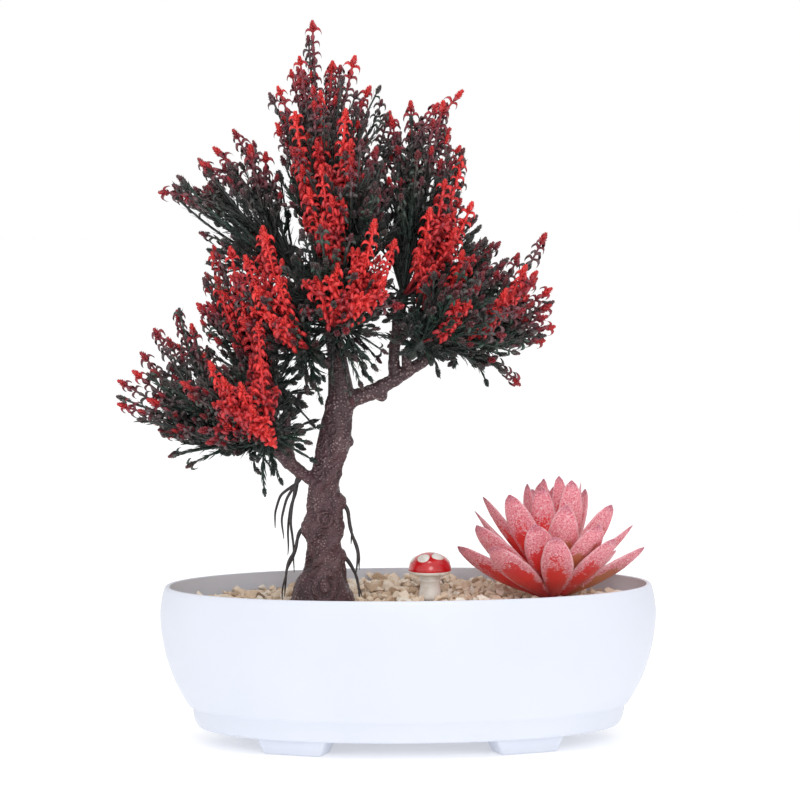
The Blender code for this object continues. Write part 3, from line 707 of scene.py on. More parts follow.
TIPS = {
    "top": [
        (-37, 0, 290), (-42, 2, 271), (-51, -4, 264), (-29, 3, 274), (-20, -2, 276), (-14, 4, 264),
        (-50, 8, 254),
    ],
    "upper_left": [
        (-69, 2, 247, 12, 2), (-77, 4, 240, 12, 4), (-82, -2, 234, 12, 6), (-99, 0, 222, 6, 16),
        (-90, 2, 221, 6, 10), (-62, -8, 241), (-56, 0, 238),
    ],
    "upper_back": [(-6, 14, 254), (-18, 18, 250), (-42, 20, 246)],
    "upper_right": [
        (23, 0, 262, -20, 8), (18, 4, 247, -12, 6), (13, -6, 257, -18, 6), (22, 6, 240), (2, 2, 258),
        (15, -4, 258), (-6, -2, 252),
    ],
    "upper_front": [(-12, -24, 240), (-46, -20, 240), (-22, -26, 236)],
    "middle_right": [(34, 8, 199)],
    "right": [
        (56, 0, 205), (58, -6, 183), (60, 4, 167), (56, -10, 172), (56, 8, 161), (45, -8, 144),
        (45, 0, 197), (58, -2, 176), (52, -8, 190),
    ],
    "right_front": [(46, -30, 176), (38, -36, 166), (28, -36, 186)],
    "right_back": [(46, 28, 184), (36, 32, 190), (50, 20, 166)],
    "left_tall": [(-78, 4, 198), (-60, 8, 208), (-81, -2, 186), (-84, -6, 178)],
    "left_low": [
        (-116, 0, 147), (-116, -6, 138), (-101, -4, 168), (-107, 4, 158), (-98, -10, 126), (-92, 0, 175),
        (-86, -8, 170), (-110, -2, 151), (-104, -8, 140), (-96, 2, 164),
    ],
    "left_back": [(-94, 22, 160), (-84, 30, 150), (-72, 30, 168)],
    "left_front": [(-90, -24, 148), (-80, -30, 124)],
    "middle_left": [(-70, -28, 190), (-66, -30, 172)],
    "back": [(-40, 44, 190), (-16, 42, 196), (-30, 36, 204), (-52, 30, 186)],
    "front": [(-42, -38, 176), (-2, -38, 178), (-24, -44, 168)],
}
SPRIGS = {
    "left_low": [
        (-95, 6, 116), (-89, -6, 112), (-91, -4, 176), (-85, -6, 168), (-80, -4, 161), (-88, 4, 166),
    ],
    "top": [(-10, -2, 264), (-7, -4, 253), (-4, 2, 244)],
    "upper_right": [(-3, -4, 244), (2, -6, 252)],
    "left_front": [
        (-57, -24, 102), (-50, -20, 106), (-38, -14, 122), (-42, -18, 130), (-46, -20, 116),
        (-36, -10, 114),
    ],
    "left_tall": [(-40, -8, 136), (-37, -6, 128), (-44, -10, 146)],
    "middle_left": [(-40, -20, 142), (-34, -20, 138), (-46, -22, 150)],
    "front": [
        (-12, -20, 151), (-18, -24, 144), (-22, -22, 138), (-8, -22, 158), (-14, -12, 146),
        (-30, -24, 146), (-3, -18, 162),
    ],
    "back": [(-10, 12, 152), (-16, 16, 146)],
    "right_front": [(12, -26, 149), (30, -24, 152), (44, -26, 158)],
    "right": [(32, -10, 144), (38, -4, 150)],
    "middle_right": [(-8, -10, 160), (-10, -8, 170), (-6, -14, 178)],
}
CHOSEN = {"plume": PLUMES, "tip": TIPS, "sprig": SPRIGS}

# The crown's outline seen from the front, (x, z); free shoots end inside it
OUTLINE = [
    (-37, 291), (-29, 275), (-19, 277), (-12, 265), (-4, 258), (10, 256), (22, 263), (21, 246), (25, 236),
    (26, 222), (32, 207), (44, 197), (57, 206), (59, 184), (61, 166), (59, 160), (46, 154), (34, 151),
    (20, 150), (8, 151), (-4, 150), (-12, 142), (-21, 132), (-30, 118), (-36, 110), (-42, 118),
    (-46, 126), (-50, 118), (-50, 112), (-57, 103), (-62, 114), (-74, 120), (-88, 121), (-100, 127),
    (-118, 136), (-118, 149), (-105, 158), (-103, 169), (-93, 176), (-84, 178), (-84, 190), (-80, 202),
    (-66, 206), (-60, 212), (-66, 220), (-84, 217), (-103, 219), (-86, 234), (-82, 241), (-70, 248),
    (-58, 242), (-57, 256), (-54, 266), (-44, 273), (-42, 281),
]


def inside_outline(point):
    """Whether a point in the frame lies within the outline, as seen from the front."""
    x, z = point[0] / MM - POT_X, point[2] / MM
    inside = False
    for (ax, az), (bx, bz) in zip(OUTLINE, OUTLINE[1:] + OUTLINE[:1]):
        if (az > z) != (bz > z) and x < ax + (bx - ax) * (z - az) / (bz - az):
            inside = not inside
    return inside


def hub_of(name):
    joint = JOINTS["swivel_" + name]
    return Vector(joint["pos_m"]), Vector(joint["axis"]).normalized()


def trunk_skeleton():
    """(path, radii) of every stem of the wood, in metres."""
    centre = smooth_path([at(x, y, z) for x, y, z, _ in TRUNK_AXIS], 6)
    radii = [p.x * MM for p in smooth_path([Vector((r, 0, 0)) for _, _, _, r in TRUNK_AXIS], 6)]
    stems = [(centre, radii)]
    for path, first, last in LIMBS:
        curve = smooth_path([at(*p) for p in path], 8)
        end = len(curve) - 1
        swell = [1 + 0.10 * math.sin(i * 1.9) * math.sin(i * 0.7) for i in range(end + 1)]
        stems.append((curve, [(first + (last - first) * i / end) * MM * swell[i] for i in range(end + 1)]))
    for name, (start, *_) in SPRAYS.items():
        hub, axis = hub_of(name)
        path = [at(*start), hub - axis * 3.4 * MM, hub - axis * 2.4 * MM, hub + axis * 6 * MM]
        stems.append((path, [2.2 * MM, 2.0 * MM, 1.6 * MM, 1.4 * MM]))
    return stems


def ridges():
    """Thin welts that climb the trunk in slow turns; (path, radii)."""
    for start, end, first_turn, turns, radius in WELTS:
        path = []
        for i in range(WELT_STEPS + 1):
            t = i / WELT_STEPS
            z = start + (end - start) * t
            x, y, radius_here = trunk_centre(z)
            turn = first_turn + turns * 2 * math.pi * t + 0.2 * math.sin(5 * t + first_turn)
            reach = radius_here * 0.90
            path.append(at(x + reach * math.cos(turn), y + reach * 0.94 * math.sin(turn), z))
        shares = [math.sin(math.pi * i / WELT_STEPS) for i in range(WELT_STEPS + 1)]
        yield path, [radius * MM * (0.35 + 0.65 * share) for share in shares]


def knot_push(away):
    """Millimetres the skin rises at this share of a knot's half-size: a raised ring, grooves and a boss."""
    groove = hump(away, 0.66, 0.16) + 0.6 * hump(away, 1.42, 0.16)
    return 0.75 * hump(away, 1.0, 0.20) - 0.55 * groove + 0.40 * hump(away, 0.36, 0.14)


def read_vectors(mesh, key):
    rows = np.empty(len(mesh.vertices) * 3)
    mesh.vertices.foreach_get(key, rows)
    return rows.reshape(-1, 3)


def make_trunk(finish):
    """The wood in one skin: stems, welts and burls joined by a fine remesh, then roughened and knotted."""
    builder = Builder()
    for path, radii in trunk_skeleton():
        builder.add_tube(path, radii, 20)
    for path, radii in ridges():
        builder.add_tube(path, radii, 10)
    for x, y, z, size in BURLS:
        bm = bmesh.new()
        bmesh.ops.create_icosphere(bm, subdivisions=3, radius=size * MM)
        points = np.array([v.co[:] for v in bm.verts]) + np.array(at(x, y, z))
        builder.add(points, [tuple(v.index for v in f.verts) for f in bm.faces])
        bm.free()
    trunk = builder.make("trunk_wood")
    remesh = trunk.modifiers.new("skin", "REMESH")
    remesh.mode = "VOXEL"
    remesh.voxel_size = BARK_VOXEL
    remesh.use_smooth_shade = True
    soften = trunk.modifiers.new("soften", "SMOOTH")
    soften.factor = 0.5
    soften.iterations = 3
    apply_modifiers(trunk)
    mesh = trunk.data
    co = read_vectors(mesh, "co")
    normal = read_vectors(mesh, "normal")
    push = np.empty(len(co))
    # Painted shade in the grooves: how far the colour darkens where the skin sinks
    hollow_shade = np.zeros(len(co))
    knots = [(at(x, y, z), wide * MM, tall * MM) for x, y, z, wide, tall in KNOTS]
    for i in range(len(co)):
        p = Vector(co[i])
        # Fibres that wind slowly round the trunk
        turn = math.atan2(p.y + 0.0045, p.x - at(-33, 0, 0).x) + p.z * 16
        fibre = noise.noise(Vector((math.cos(turn) * 1.9, math.sin(turn) * 1.9, p.z * 60 + turn * 0.4)) * 1.5)
        lump = noise.noise(p * 190)
        grit = noise.noise(p * 800)
        push[i] = (0.75 * fibre + 0.45 * lump + 0.20 * grit) * MM
        hollow_shade[i] = max(0.0, -fibre * 1.4 - 0.15)
        for centre, wide, tall in knots:
            away = math.hypot((p.x - centre.x) / wide, (p.z - centre.z) / tall)
            if away < 2 and abs(p.y - centre.y) < 5.5 * MM:
                rise = knot_push(away)
                push[i] = push[i] * min(1, away / 2) + rise * MM
                hollow_shade[i] = max(hollow_shade[i] * min(1, away / 2), min(0.9, max(0.0, -rise * 1.5)))
    rough = np.where(co[:, 2] < BARK_TOP, 1.0, 0.35)
    co += normal * (push * rough)[:, None]
    mesh.vertices.foreach_set("co", co.ravel())
    mesh.update()
    add_attribute(mesh, "hollow_shade", hollow_shade)
    add_attribute(mesh, "height", co[:, 2])
    mesh.shade_smooth()
    place(trunk, ROOT, ["trunk"], finish)


# name: (a point inside the wood and where the bunch leaves it, the further points of each strand)
ROOTS = {
    "roots_left_upper": ([(-42.6, -2.8, 110.0), (-44.6, -2.6, 105.2)], [
        [(-46.6, -3.6, 97), (-47.2, -5, 88), (-46.2, -7.5, 80), (-46.0, -8, 70)],
        [(-49.0, -2.0, 98), (-50.6, -2.4, 91), (-50.0, -4, 83)],
        [(-50.8, -1.0, 100), (-53.2, 0.4, 94), (-53.6, 0, 87)],
        [(-46.4, 1.0, 96), (-48.4, 3, 86), (-48.6, 2.6, 75)],
    ]),
    "roots_left_lower": ([(-39.6, -5.5, 89.5), (-43.6, -6.0, 85.5)], [
        [(-45.8, -9.0, 78), (-49.4, -10.5, 70), (-50.2, -11, 58.6)],
        [(-45.0, -3.0, 78), (-49.0, -2, 69), (-49.6, -1, 58.6)],
    ]),
    "roots_right_upper": ([(-28.0, -5.6, 98.5), (-24.6, -6, 94.5)], [
        [(-23.0, -7.4, 86), (-20.6, -8, 79), (-19.6, -7.4, 71)],
        [(-22.2, -9.4, 84), (-20.4, -13.5, 77), (-21.4, -14.5, 68)],
        [(-22.8, -3.6, 88), (-22.6, -1, 80)],
    ]),
    "roots_right_lower": ([(-27.4, -4.0, 77.0), (-24.0, -3, 73.5)], [
        [(-21.0, -3.5, 67), (-18.4, -4, 58.6)],
        [(-20.8, -9, 66), (-19.4, -12.5, 58.6)],
    ]),
}


def make_roots(finish):
    """Thin strands that grow out of the wood, wander and taper."""
    for name, (start, strands) in ROOTS.items():
        builder = Builder()
        for number, strand in enumerate(strands):
            curve = smooth_path([at(*p) for p in start + strand], 10)
            last = len(curve) - 1
            shift = Vector((7.3 * number, 0, 3.1))
            for i, p in enumerate(curve):
                wander = Vector([0.9 * MM * noise.noise(p * 130 + shift * (k + 1)) for k in range(3)])
                curve[i] = p + wander * min(1, 3 * i / last)
            shares = [i / last for i in range(last + 1)]
            radii = [(0.62 + 0.9 * math.exp(-7 * s) - 0.14 * s - 0.34 * s**8) * MM for s in shares]
            builder.add_tube(curve, radii, 10)
        place(builder.make("strands_" + name), ROOT, [name], finish)


# ------------------------------------------------------------------ foliage

SLEEVE_TOP = 7.5 * MM
GREENER = ("right", "right_front", "left_low", "left_front", "front")
# The stems of the CAD solid
FROND_COUNT = 7
FROND_TWIST = 0.2
# Free stems of a spray: the long ones, the ones that fill the crown and the short ones round the sleeve
MAIN_COUNT = 6
FILL_COUNT = 12
SKIRT_COUNT = 9
NODE_PITCH = 2.6 * MM  # between two pairs of leaves
LEAF_REACH = 4.2 * MM
STEM_SIDES = 5
SIDE_BUD = 3.8  # millimetres, as every bud here
# (height, radius) up the sleeve, in millimetres from the joint
SLEEVE = [(-1.2, 1.9), (-1.2, 2.6), (1.0, 2.7), (3.4, 2.5), (6.0, 2.6), (8.2, 2.3), (9.6, 1.9), (10.2, 1.0)]


def leaf_shape(spine, widths, thicks, length):
    """Rings of three points along a leaf's spine, (out, up) at each, scaled to unit length."""
    points = []
    for (x, z), wide, thick in zip(spine, widths, thicks):
        low = z - thick * 0.35
        points += [(x, wide / 2, low), (x, 0, z + thick * 0.55), (x, -wide / 2, low)]
    return np.array(points) / length, ring_faces(len(spine), 3)


def claw_leaf():
    """A small leaf: out along +X, the stem along +Z; it rises, arches over and hooks down."""
    spine = [(0.2, 0.2), (1.4, 1.2), (2.8, 1.5), (3.9, 0.7), (4.4, -0.7), (4.1, -2.0)]
    return leaf_shape(spine, [1.0, 1.6, 2.1, 2.0, 1.3, 0.15], [1.5, 1.7, 1.7, 1.4, 0.9, 0.15], 4.6)


def needle_leaf():
    """A narrow leaf that lies close along the stem."""
    spine = [(0.2, 0.0), (0.8, 1.4), (1.15, 3.2), (1.7, 5.0)]
    return leaf_shape(spine, [0.5, 1.1, 1.0, 0.14], [0.4, 0.55, 0.5, 0.12], 4.6)


def bud_scale():
    """One pointed scale of a bud: from the axis up and out, unit length."""
    spine = [(0.04, 0.0), (0.30, 0.30), (0.44, 0.62), (0.58, 0.86)]
    return leaf_shape(spine, [0.34, 0.74, 0.66, 0.10], [0.16, 0.24, 0.20, 0.06], 1.0)


NEEDLE = needle_leaf()
LEAF = claw_leaf()
SCALE = bud_scale()


def basis(along, out):
    """Rows: out, across and along, for turning leaf points into the frame."""
    along = along / np.linalg.norm(along)
    out = out - along * out.dot(along)
    out = out / np.linalg.norm(out)
    return np.stack([out, np.cross(along, out), along])


def bezier(start, bend, tip, steps):
    t = np.linspace(0, 1, steps)[:, None]
    return (1 - t) ** 2 * start + 2 * t * (1 - t) * bend + t**2 * tip


def tilted(points, angle):
    """Leaf points leaned by an angle about their own Y axis."""
    c, s = math.cos(angle), math.sin(angle)
    x, y, z = points.T
    return np.stack([x * c + z * s, y, -x * s + z * c], axis=1)


BUD_WHORLS = (
    # (height up the bud, scales, their length, their lean), for a bud of unit length
    (-0.04, 4, 0.42, 0.30),
    (0.12, 5, 0.44, 0.20),
    (0.30, 5, 0.42, 0.08),
    (0.46, 4, 0.38, -0.06),
    (0.60, 3, 0.34, -0.25),
)


def add_bud(builder, foot, rows, size, ripe, green, uneven):
    """An egg-shaped bud of pointed scales in whorls, opening a little at the sides."""
    points, faces = SCALE
    for whorl, (height, count, length, lean) in enumerate(BUD_WHORLS):
        for k in range(count):
            turn = 2 * math.pi * (k + 0.5 * (whorl % 2)) / count + uneven.uniform(-0.15, 0.15)
            local = tilted(points * length, lean + uneven.uniform(-0.08, 0.08))
            c, s = math.cos(turn), math.sin(turn)
            x, y, z = local.T
            spun = [x * c - y * s, x * s + y * c, z + height]
            tone = ripe + uneven.uniform(-0.07, 0.05) + 0.02 * whorl
            builder.add(foot + (np.stack(spun, axis=1) * size) @ rows, faces, ripe=tone, green=green)


class Shoot:
    """What one shoot looks like.

    Stem radius in millimetres, bare share of the stem, colours at its foot and tip, how late it reddens,
    how green it is, the size of its bud, and the size and spacing of its leaves next to the usual ones.
    """

    def __init__(self, radius, bare, low, high, late, green=0.0, bud=4.4, leaf=1.0, pitch=1.0):
        self.radius, self.bare, self.low, self.high, self.late = radius * MM, bare, low, high, late
        self.green, self.bud, self.leaf, self.pitch = green, bud, leaf, pitch

    def tone(self, share):
        return self.low + (self.high - self.low) * np.clip(share, 0, 1) ** self.late


def add_shoot(builder, path, look, uneven):
    """A stem with pairs of claw leaves, each pair square to the one below, and a bud at its tip."""
    lengths = np.concatenate([[0], np.cumsum(np.linalg.norm(np.diff(path, axis=0), axis=1))])
    total = lengths[-1]
    shares = lengths / total
    radii = look.radius * (1 - 0.45 * shares)
    stem_tones = np.repeat(look.tone(shares), STEM_SIDES) - 0.03
    builder.add_tube(path, radii, STEM_SIDES, ripe=stem_tones, green=look.green * 0.4)
    aheads = np.gradient(path, axis=0)
    side = np.cross(aheads[-1], (0.31, 0.53, 0.79))
    spot = total * look.bare
    turn = uneven.uniform(0, math.pi)
    while spot < total - 0.5 * look.bud * MM:
        share = spot / total
        centre = np.array([np.interp(spot, lengths, path[:, k]) for k in range(3)])
        along = np.array([np.interp(spot, lengths, aheads[:, k]) for k in range(3)])
        reach = LEAF_REACH * look.leaf * (0.72 + 0.28 * math.sin(math.pi * min(1, 0.25 + share)))
        tone = float(look.tone(share))
        rows = basis(along, side)
        for half in (0, math.pi):
            angle = turn + half + uneven.uniform(-0.25, 0.25)
            leaf_rows = basis(along, rows[0] * math.cos(angle) + rows[1] * math.sin(angle))
            points, faces = NEEDLE if tone + uneven.uniform(-0.08, 0.08) < 0.27 else LEAF
            local = tilted(points, uneven.uniform(-0.15, 0.35)) * reach * uneven.uniform(0.82, 1.14)
            ripe = tone + uneven.uniform(-0.08, 0.06) - 0.06 * points[:, 0]
            builder.add(centre + local @ leaf_rows, faces, ripe=ripe, green=look.green)
        turn += math.pi / 2 + uneven.uniform(-0.15, 0.15)
        spot += NODE_PITCH * look.pitch * uneven.uniform(0.88, 1.12)
    rows = basis(aheads[-1], side)
    size = look.bud * MM * uneven.uniform(0.88, 1.12)
    add_bud(builder, path[-1] - rows[2] * size * 0.9, rows, size, look.high, look.green * 0.3, uneven)


def add_side_shoots(builder, stem, out, look, uneven, count, first, last, longest):
    """Side shoots that leave a stem between two shares of its length and end inside the crown."""
    steps = len(stem) - 1
    reach = np.linalg.norm(stem[-1] - stem[0])
    for _ in range(count):
        share = uneven.uniform(first, last)
        number = int(share * steps)
        foot = stem[number]
        rows = basis(stem[number + 1] - foot, out)
        spin = uneven.uniform(0, 2 * math.pi)
        away = rows[0] * math.cos(spin) + rows[1] * math.sin(spin)
        tilt = math.radians(uneven.uniform(22, 40))
        aim = rows[2] * math.cos(tilt) + away * math.sin(tilt)
        long = max(reach * (1 - share) * uneven.uniform(0.5, longest), 10 * MM)
        end = foot + aim * long + np.array((0, 0, 0.06 * long))
        high = look.high * uneven.uniform(0.72, 1.0)
        if inside_outline(end):
            low = float(look.tone(share))
            twig_look = Shoot(0.48, 0.16, low, high, look.late * 0.8, look.green, SIDE_BUD, 0.95, look.pitch)
            twig = bezier(foot, foot + (aim + 0.35 * away) * long * 0.5, end, 8)
            add_shoot(builder, twig, twig_look, uneven)


def frond_plans(length, spread, uneven):
    """(turn, lean, reach, part) of the stems: the CAD solid's own, some between them, then short ones."""
    plans = []
    for k in range(FROND_COUNT):
        turn = 2 * math.pi * (k - 1) / (FROND_COUNT - 1) + FROND_TWIST
        lean = 0 if k == 0 else spread * (1.0 if k % 2 else 0.62)
        plans.append((turn, lean, length * (1 - 0.22 * lean / spread), "main"))
    for k in range(MAIN_COUNT):
        turn = 2 * math.pi * k / MAIN_COUNT + uneven.uniform(-0.3, 0.3)
        plans.append((turn, spread * uneven.uniform(0.35, 1.2), length * uneven.uniform(0.58, 0.88), "main"))
    for k in range(FILL_COUNT):
        turn = 2 * math.pi * k / FILL_COUNT * 2 + uneven.uniform(-0.3, 0.3)
        lean = min(spread * uneven.uniform(1.1, 2.6), math.radians(78))
        plans.append((turn, lean, max(length, 46 * MM) * uneven.uniform(0.38, 0.68), "fill"))
    for k in range(SKIRT_COUNT):
        turn = 2 * math.pi * k / SKIRT_COUNT + uneven.uniform(-0.3, 0.3)
        plans.append((turn, math.radians(uneven.uniform(75, 125)), uneven.uniform(11, 20) * MM, "skirt"))
    return plans


def add_sleeve(builder, hub, axis, out):
    """The moulded sleeve that slips over the peg."""
    across, other, _ = basis(axis, out)
    c, s = circle(14)
    around = np.outer(c, across) + np.outer(s, other)
    rings = [hub + axis * height * MM + radius * MM * around for height, radius in SLEEVE]
    builder.add_rings(rings, caps=(False, True), ripe=0.05, green=0.12)


def add_free_shoots(builder, name, root, axis, side, length, spread, redness, uneven):
    """The spray's own stems, fanned about its axis."""
    for number, (turn, lean, reach, part) in enumerate(frond_plans(length, spread, uneven)):
        in_cad = number < FROND_COUNT
        out = np.array(Matrix.Rotation(turn, 3, Vector(axis)) @ side)
        heading = axis * math.cos(lean) + out * math.sin(lean)
        if not in_cad:
            reach *= 1 - 0.35 * max(0.0, -heading[1])
        foot = root - axis * (uneven.uniform(0, 6) * MM if part == "skirt" else 0)
        rise = 0.05 if in_cad else 0.05 + 0.16 * (1 - max(0.0, heading[2]))
        for _ in range(5):
            tip = foot + heading * reach + np.array((0, 0, rise * reach))
            if inside_outline(tip):
                break
            reach *= 0.94 if in_cad else 0.82
        bend = axis * 0.35 + heading * 0.65
        bend = foot + bend / np.linalg.norm(bend) * reach * 0.5
        if not in_cad and part != "skirt":
            bend = foot + heading * reach * 0.6 - np.array((0, 0, 0.06 * reach))
        stem = bezier(foot, bend, tip, 12)
        low = uneven.uniform(0.00, 0.14)
        green = uneven.uniform(0.2, 0.8) if uneven.random() < (0.45 if name in GREENER else 0.2) else 0.0
        if part == "main":
            high = redness * uneven.uniform(0.35, 1.05)
            look = Shoot(0.72, uneven.uniform(0.26, 0.40), low, high, uneven.uniform(2.4, 4.5), green)
            twigs = (3, 0.26, 0.68, 0.85)
        elif part == "fill":
            high = redness * uneven.uniform(0.1, 0.65)
            look = Shoot(0.6, 0.2, low, high, uneven.uniform(2.0, 3.2), green)
            twigs = (2, 0.3, 0.75, 0.85)
        else:
            look = Shoot(0.5, 0.1, low, uneven.uniform(0.04, 0.34), 2.0, green, 3.6, 0.90)
            twigs = (0, 0, 0, 0)
        add_shoot(builder, stem, look, uneven)
        add_side_shoots(builder, stem, out, look, uneven, *twigs)


def add_chosen_shoots(builder, name, root, axis, redness, uneven):
    """The spray's plumes, tips and sprigs."""
    chosen = [(part, spot) for part, table in CHOSEN.items() for spot in table.get(name, ())]
    for part, (x, y, z, *lean) in chosen:
        tip = np.array(at(x, y, z))
        gap = tip - root
        reach = np.linalg.norm(gap)
        bend = root + (axis * 0.5 + gap / reach * 0.5) * reach * 0.5 + np.array((0, 0, -0.03 * reach))
        if part == "plume":  # forward first, then up
            bend = root + gap * np.array((0.62, 1.02, 0.22))
            look = Shoot(0.85, 0.40, 0.25, uneven.uniform(0.86, 1.0), 0.22, 0.0, 5.2, 1.08, 0.80)
            twigs = (2, 0.5, 0.82, 0.75)
        elif part == "tip":
            high = min(1.0, (0.3 + 0.7 * redness) * uneven.uniform(0.85, 1.12))
            look = Shoot(0.75, 0.30, 0.05, high, uneven.uniform(1.8, 3.4), 0.0, 5.0, 1.12, 0.92)
            twigs = (2, 0.35, 0.8, 0.6)
        else:
            look = Shoot(0.6, 0.25, 0.03, uneven.uniform(0.05, 0.4), 2.0, uneven.choice((0, 0.5)), 3.8, 0.95)
            twigs = (2, 0.3, 0.7, 0.6)
        if lean:  # the stem swings out before its end
            bend = bend + np.array((lean[0], 0, lean[1])) * MM
        stem = bezier(root, bend, tip, 14)
        add_shoot(builder, stem, look, uneven)
        add_side_shoots(builder, stem, np.cross(gap, (0.2, 0.9, 0.4)), look, uneven, *twigs)


def make_spray(name, length, spread, redness, finish, uneven):
    hub, axis = (np.array(vector) for vector in hub_of(name))
    side = Vector(axis).cross(Vector((0, 1, 0))).normalized()
    root = hub + axis * SLEEVE_TOP
    builder = Builder("ripe", "green")
    add_sleeve(builder, hub, axis, np.array(side))
    add_free_shoots(builder, name, root, axis, side, length * MM, math.radians(spread), redness, uneven)
    add_chosen_shoots(builder, name, root, axis, redness, uneven)
    place(builder.make("foliage_" + name), "spray_" + name, ["spray_" + name], finish)


# ------------------------------------------------------------------ succulent and mushroom

# (leaves, lean in degrees, length, width) of each tier, from the lowest up
TIERS = [(8, 20, 40, 12.8), (7, 36, 40, 12.8), (6, 51, 38, 12.0), (5, 66, 35, 10.4), (3, 80, 31, 8.0)]
TIER_Z = 59.0
TIER_PITCH = 3.8
LEAF_THICK = 3.6
LEAF_ROWS = 22
LEAF_SIDES = 16
# (radius, height) round the ring that joins a tier's leaves
COLLAR = [(4.2, -1.1), (4.4, 0.0), (4.0, 1.1), (2.7, 1.1), (2.6, 0), (2.7, -1.1), (4.2, -1.1)]
# (radius, height) up each turned part of the mushroom
CAP_SKIRT = [(8.62, 69.1), (8.3, 68.9)]
GILLS = [
    (8.4, 69.3), (8.55, 69.0), (8.45, 68.3), (8.0, 67.8), (7.2, 67.6), (6.2, 67.8), (5.2, 68.2), (4.4, 68.4),
]
STEM = [
    (0.05, 28.0), (1.3, 33.0), (1.3, 57.0), (4.2, 57.2), (4.9, 58.0), (4.7, 59.4), (4.2, 61.2),
    (4.0, 63.0), (4.0, 64.6), (4.5, 65.0), (4.6, 65.4), (4.1, 65.8), (4.2, 67.0), (4.4, 68.0),
    (0.05, 68.0),
]
# (turn and height in degrees, radius) of each spot on the cap
SPOTS = [(-120, 50, 2.7), (-52, 56, 2.5), (14, 34, 2.3), (66, 44, 2.5), (122, 32, 2.3), (178, 36, 2.4)]
SPOT_SIDES = 18


def succulent_leaf(builder, base, turn, lean, length, width, thick, blush, uneven):
    """A thick, keeled, pointed leaf with a shallow trough along its upper side."""
    outward = Vector((math.cos(turn), math.sin(turn), 0))
    across = Vector((-outward.y, outward.x, 0))
    curl = math.radians(uneven.uniform(9, 17))
    sway = uneven.uniform(-0.16, 0.16)
    # Leaves at the sides roll their upper face a little to the front
    roll = uneven.uniform(-0.2, 0.2) + 0.5 * outward.x
    points = []
    shares = []
    rims = []
    spot = base.copy()
    for i in range(LEAF_ROWS):
        share = i / (LEAF_ROWS - 1)
        tilt = lean + curl * share
        along = outward * math.cos(tilt) + Vector((0, 0, math.sin(tilt))) + across * sway * share
        along.normalize()
        level, facing = across, across.cross(along) * -1
        wide_axis = level * math.cos(roll) - facing * math.sin(roll)
        up = facing * math.cos(roll) + level * math.sin(roll)
        if i:
            spot = spot + along * length / (LEAF_ROWS - 1)
        swell = math.sin(math.pi * min(1.0, share**1.35)) ** (0.80 if share < 0.6 else 0.52)
        wide = width * max(0.07, 0.34 * (1 - share) ** 2 + 0.98 * swell)
        deep = thick * max(0.04, (0.45 + 0.55 * math.sin(math.pi * (0.15 + 0.7 * share))) * (1 - share**5))
        for k in range(LEAF_SIDES):
            a = 2 * math.pi * k / LEAF_SIDES
            u, v = math.cos(a), math.sin(a)
            if v >= 0:
                height = 0.34 * deep * v * (0.45 + 0.55 * abs(u))
            else:
                height = -0.72 * deep * abs(v) ** 0.85 * (1 - 0.35 * abs(u))
            p = spot + wide_axis * (u * wide / 2) + up * height
            lump = noise.noise(p * 420) * 0.16 + noise.noise(p * 160) * 0.22
            points.append(p + (up * math.copysign(1, v) * 0.8 + across * u * 0.6) * lump * MM)
            shares.append(share)
            rims.append(abs(u))
    builder.add(points, ring_faces(LEAF_ROWS, LEAF_SIDES), along=shares, rim=rims, blush=blush)


def revolve(builder, profile, centre, sides, caps=(True, True), **values):
    """A surface of revolution about a vertical axis; the profile is (radius, height) in millimetres."""
    c, s = circle(sides)
    rings = []
    for radius, height in profile:
        x, y = centre.x + radius * MM * c, centre.y + radius * MM * s
        rings.append(np.stack([x, y, np.full(sides, height * MM)], axis=1))
    builder.add_rings(rings, caps, **values)


def make_succulent(finish, stem_finish):
    uneven = random.Random(9)
    centre = at(SUCCULENT_X, 0, 0)
    for number, (count, lean, length, width) in enumerate(TIERS):
        z = TIER_Z + TIER_PITCH * number
        builder = Builder("along", "rim", "blush")
        for k in range(count):
            turn = 2 * math.pi * (k + 0.5 * (number % 2)) / count + 0.35 * number + 0.05
            inset = 3.2 if number < 4 else 1.6
            base = centre + Vector((math.cos(turn), math.sin(turn), 0)) * inset * MM + Vector((0, 0, z * MM))
            blush = uneven.choice((0.0, 0.0, 0.0, 1.0, 1.0))
            # The lowest leaves at the front stand up a little more
            lift = 16 * max(0.0, -math.sin(turn)) if number == 0 else 0
            slant = math.radians(lean + lift + uneven.uniform(-6, 6))
            size = length * uneven.uniform(0.94, 1.08) * MM
            turn += uneven.uniform(-0.06, 0.06)
            succulent_leaf(builder, base, turn, slant, size, width * MM, LEAF_THICK * MM, blush, uneven)
        collar = [(radius, z + height) for radius, height in COLLAR]
        revolve(builder, collar, centre, 24, (False, False), along=0.0, rim=0.0, blush=0.3)
        node = f"succulent_leaves_{number + 1}"
        place(builder.make(f"rosette_tier_{number + 1}"), "succulent", [node], finish)
    set_material(frame["nodes"]["succulent_stem"], stem_finish)


def spot_rings(turn, rise, size):
    """A slightly raised, uneven spot laid on the cap's dome, in millimetres from the mushroom's axis."""
    for radius, lift in ((1.0, -0.15), (1.0, 0.05), (0.86, 0.18), (0.55, 0.26), (0.05, 0.28)):
        ring = []
        for k in range(SPOT_SIDES):
            t = 2 * math.pi * k / SPOT_SIDES
            wobble = radius * size * (1 + 0.06 * math.sin(3 * t + turn))
            a = math.radians(turn) + wobble * math.cos(t) / (CAP_RADIUS * math.cos(math.radians(rise)))
            e = math.radians(rise) + 0.8 * wobble * math.sin(t) / CAP_RISE
            normal = Vector((math.cos(a) * math.cos(e), math.sin(a) * math.cos(e), math.sin(e)))
            spot = Vector((CAP_RADIUS * normal.x, CAP_RADIUS * normal.y, CAP_EDGE_Z + CAP_RISE * normal.z))
            ring.append(spot + normal * lift)
        yield ring


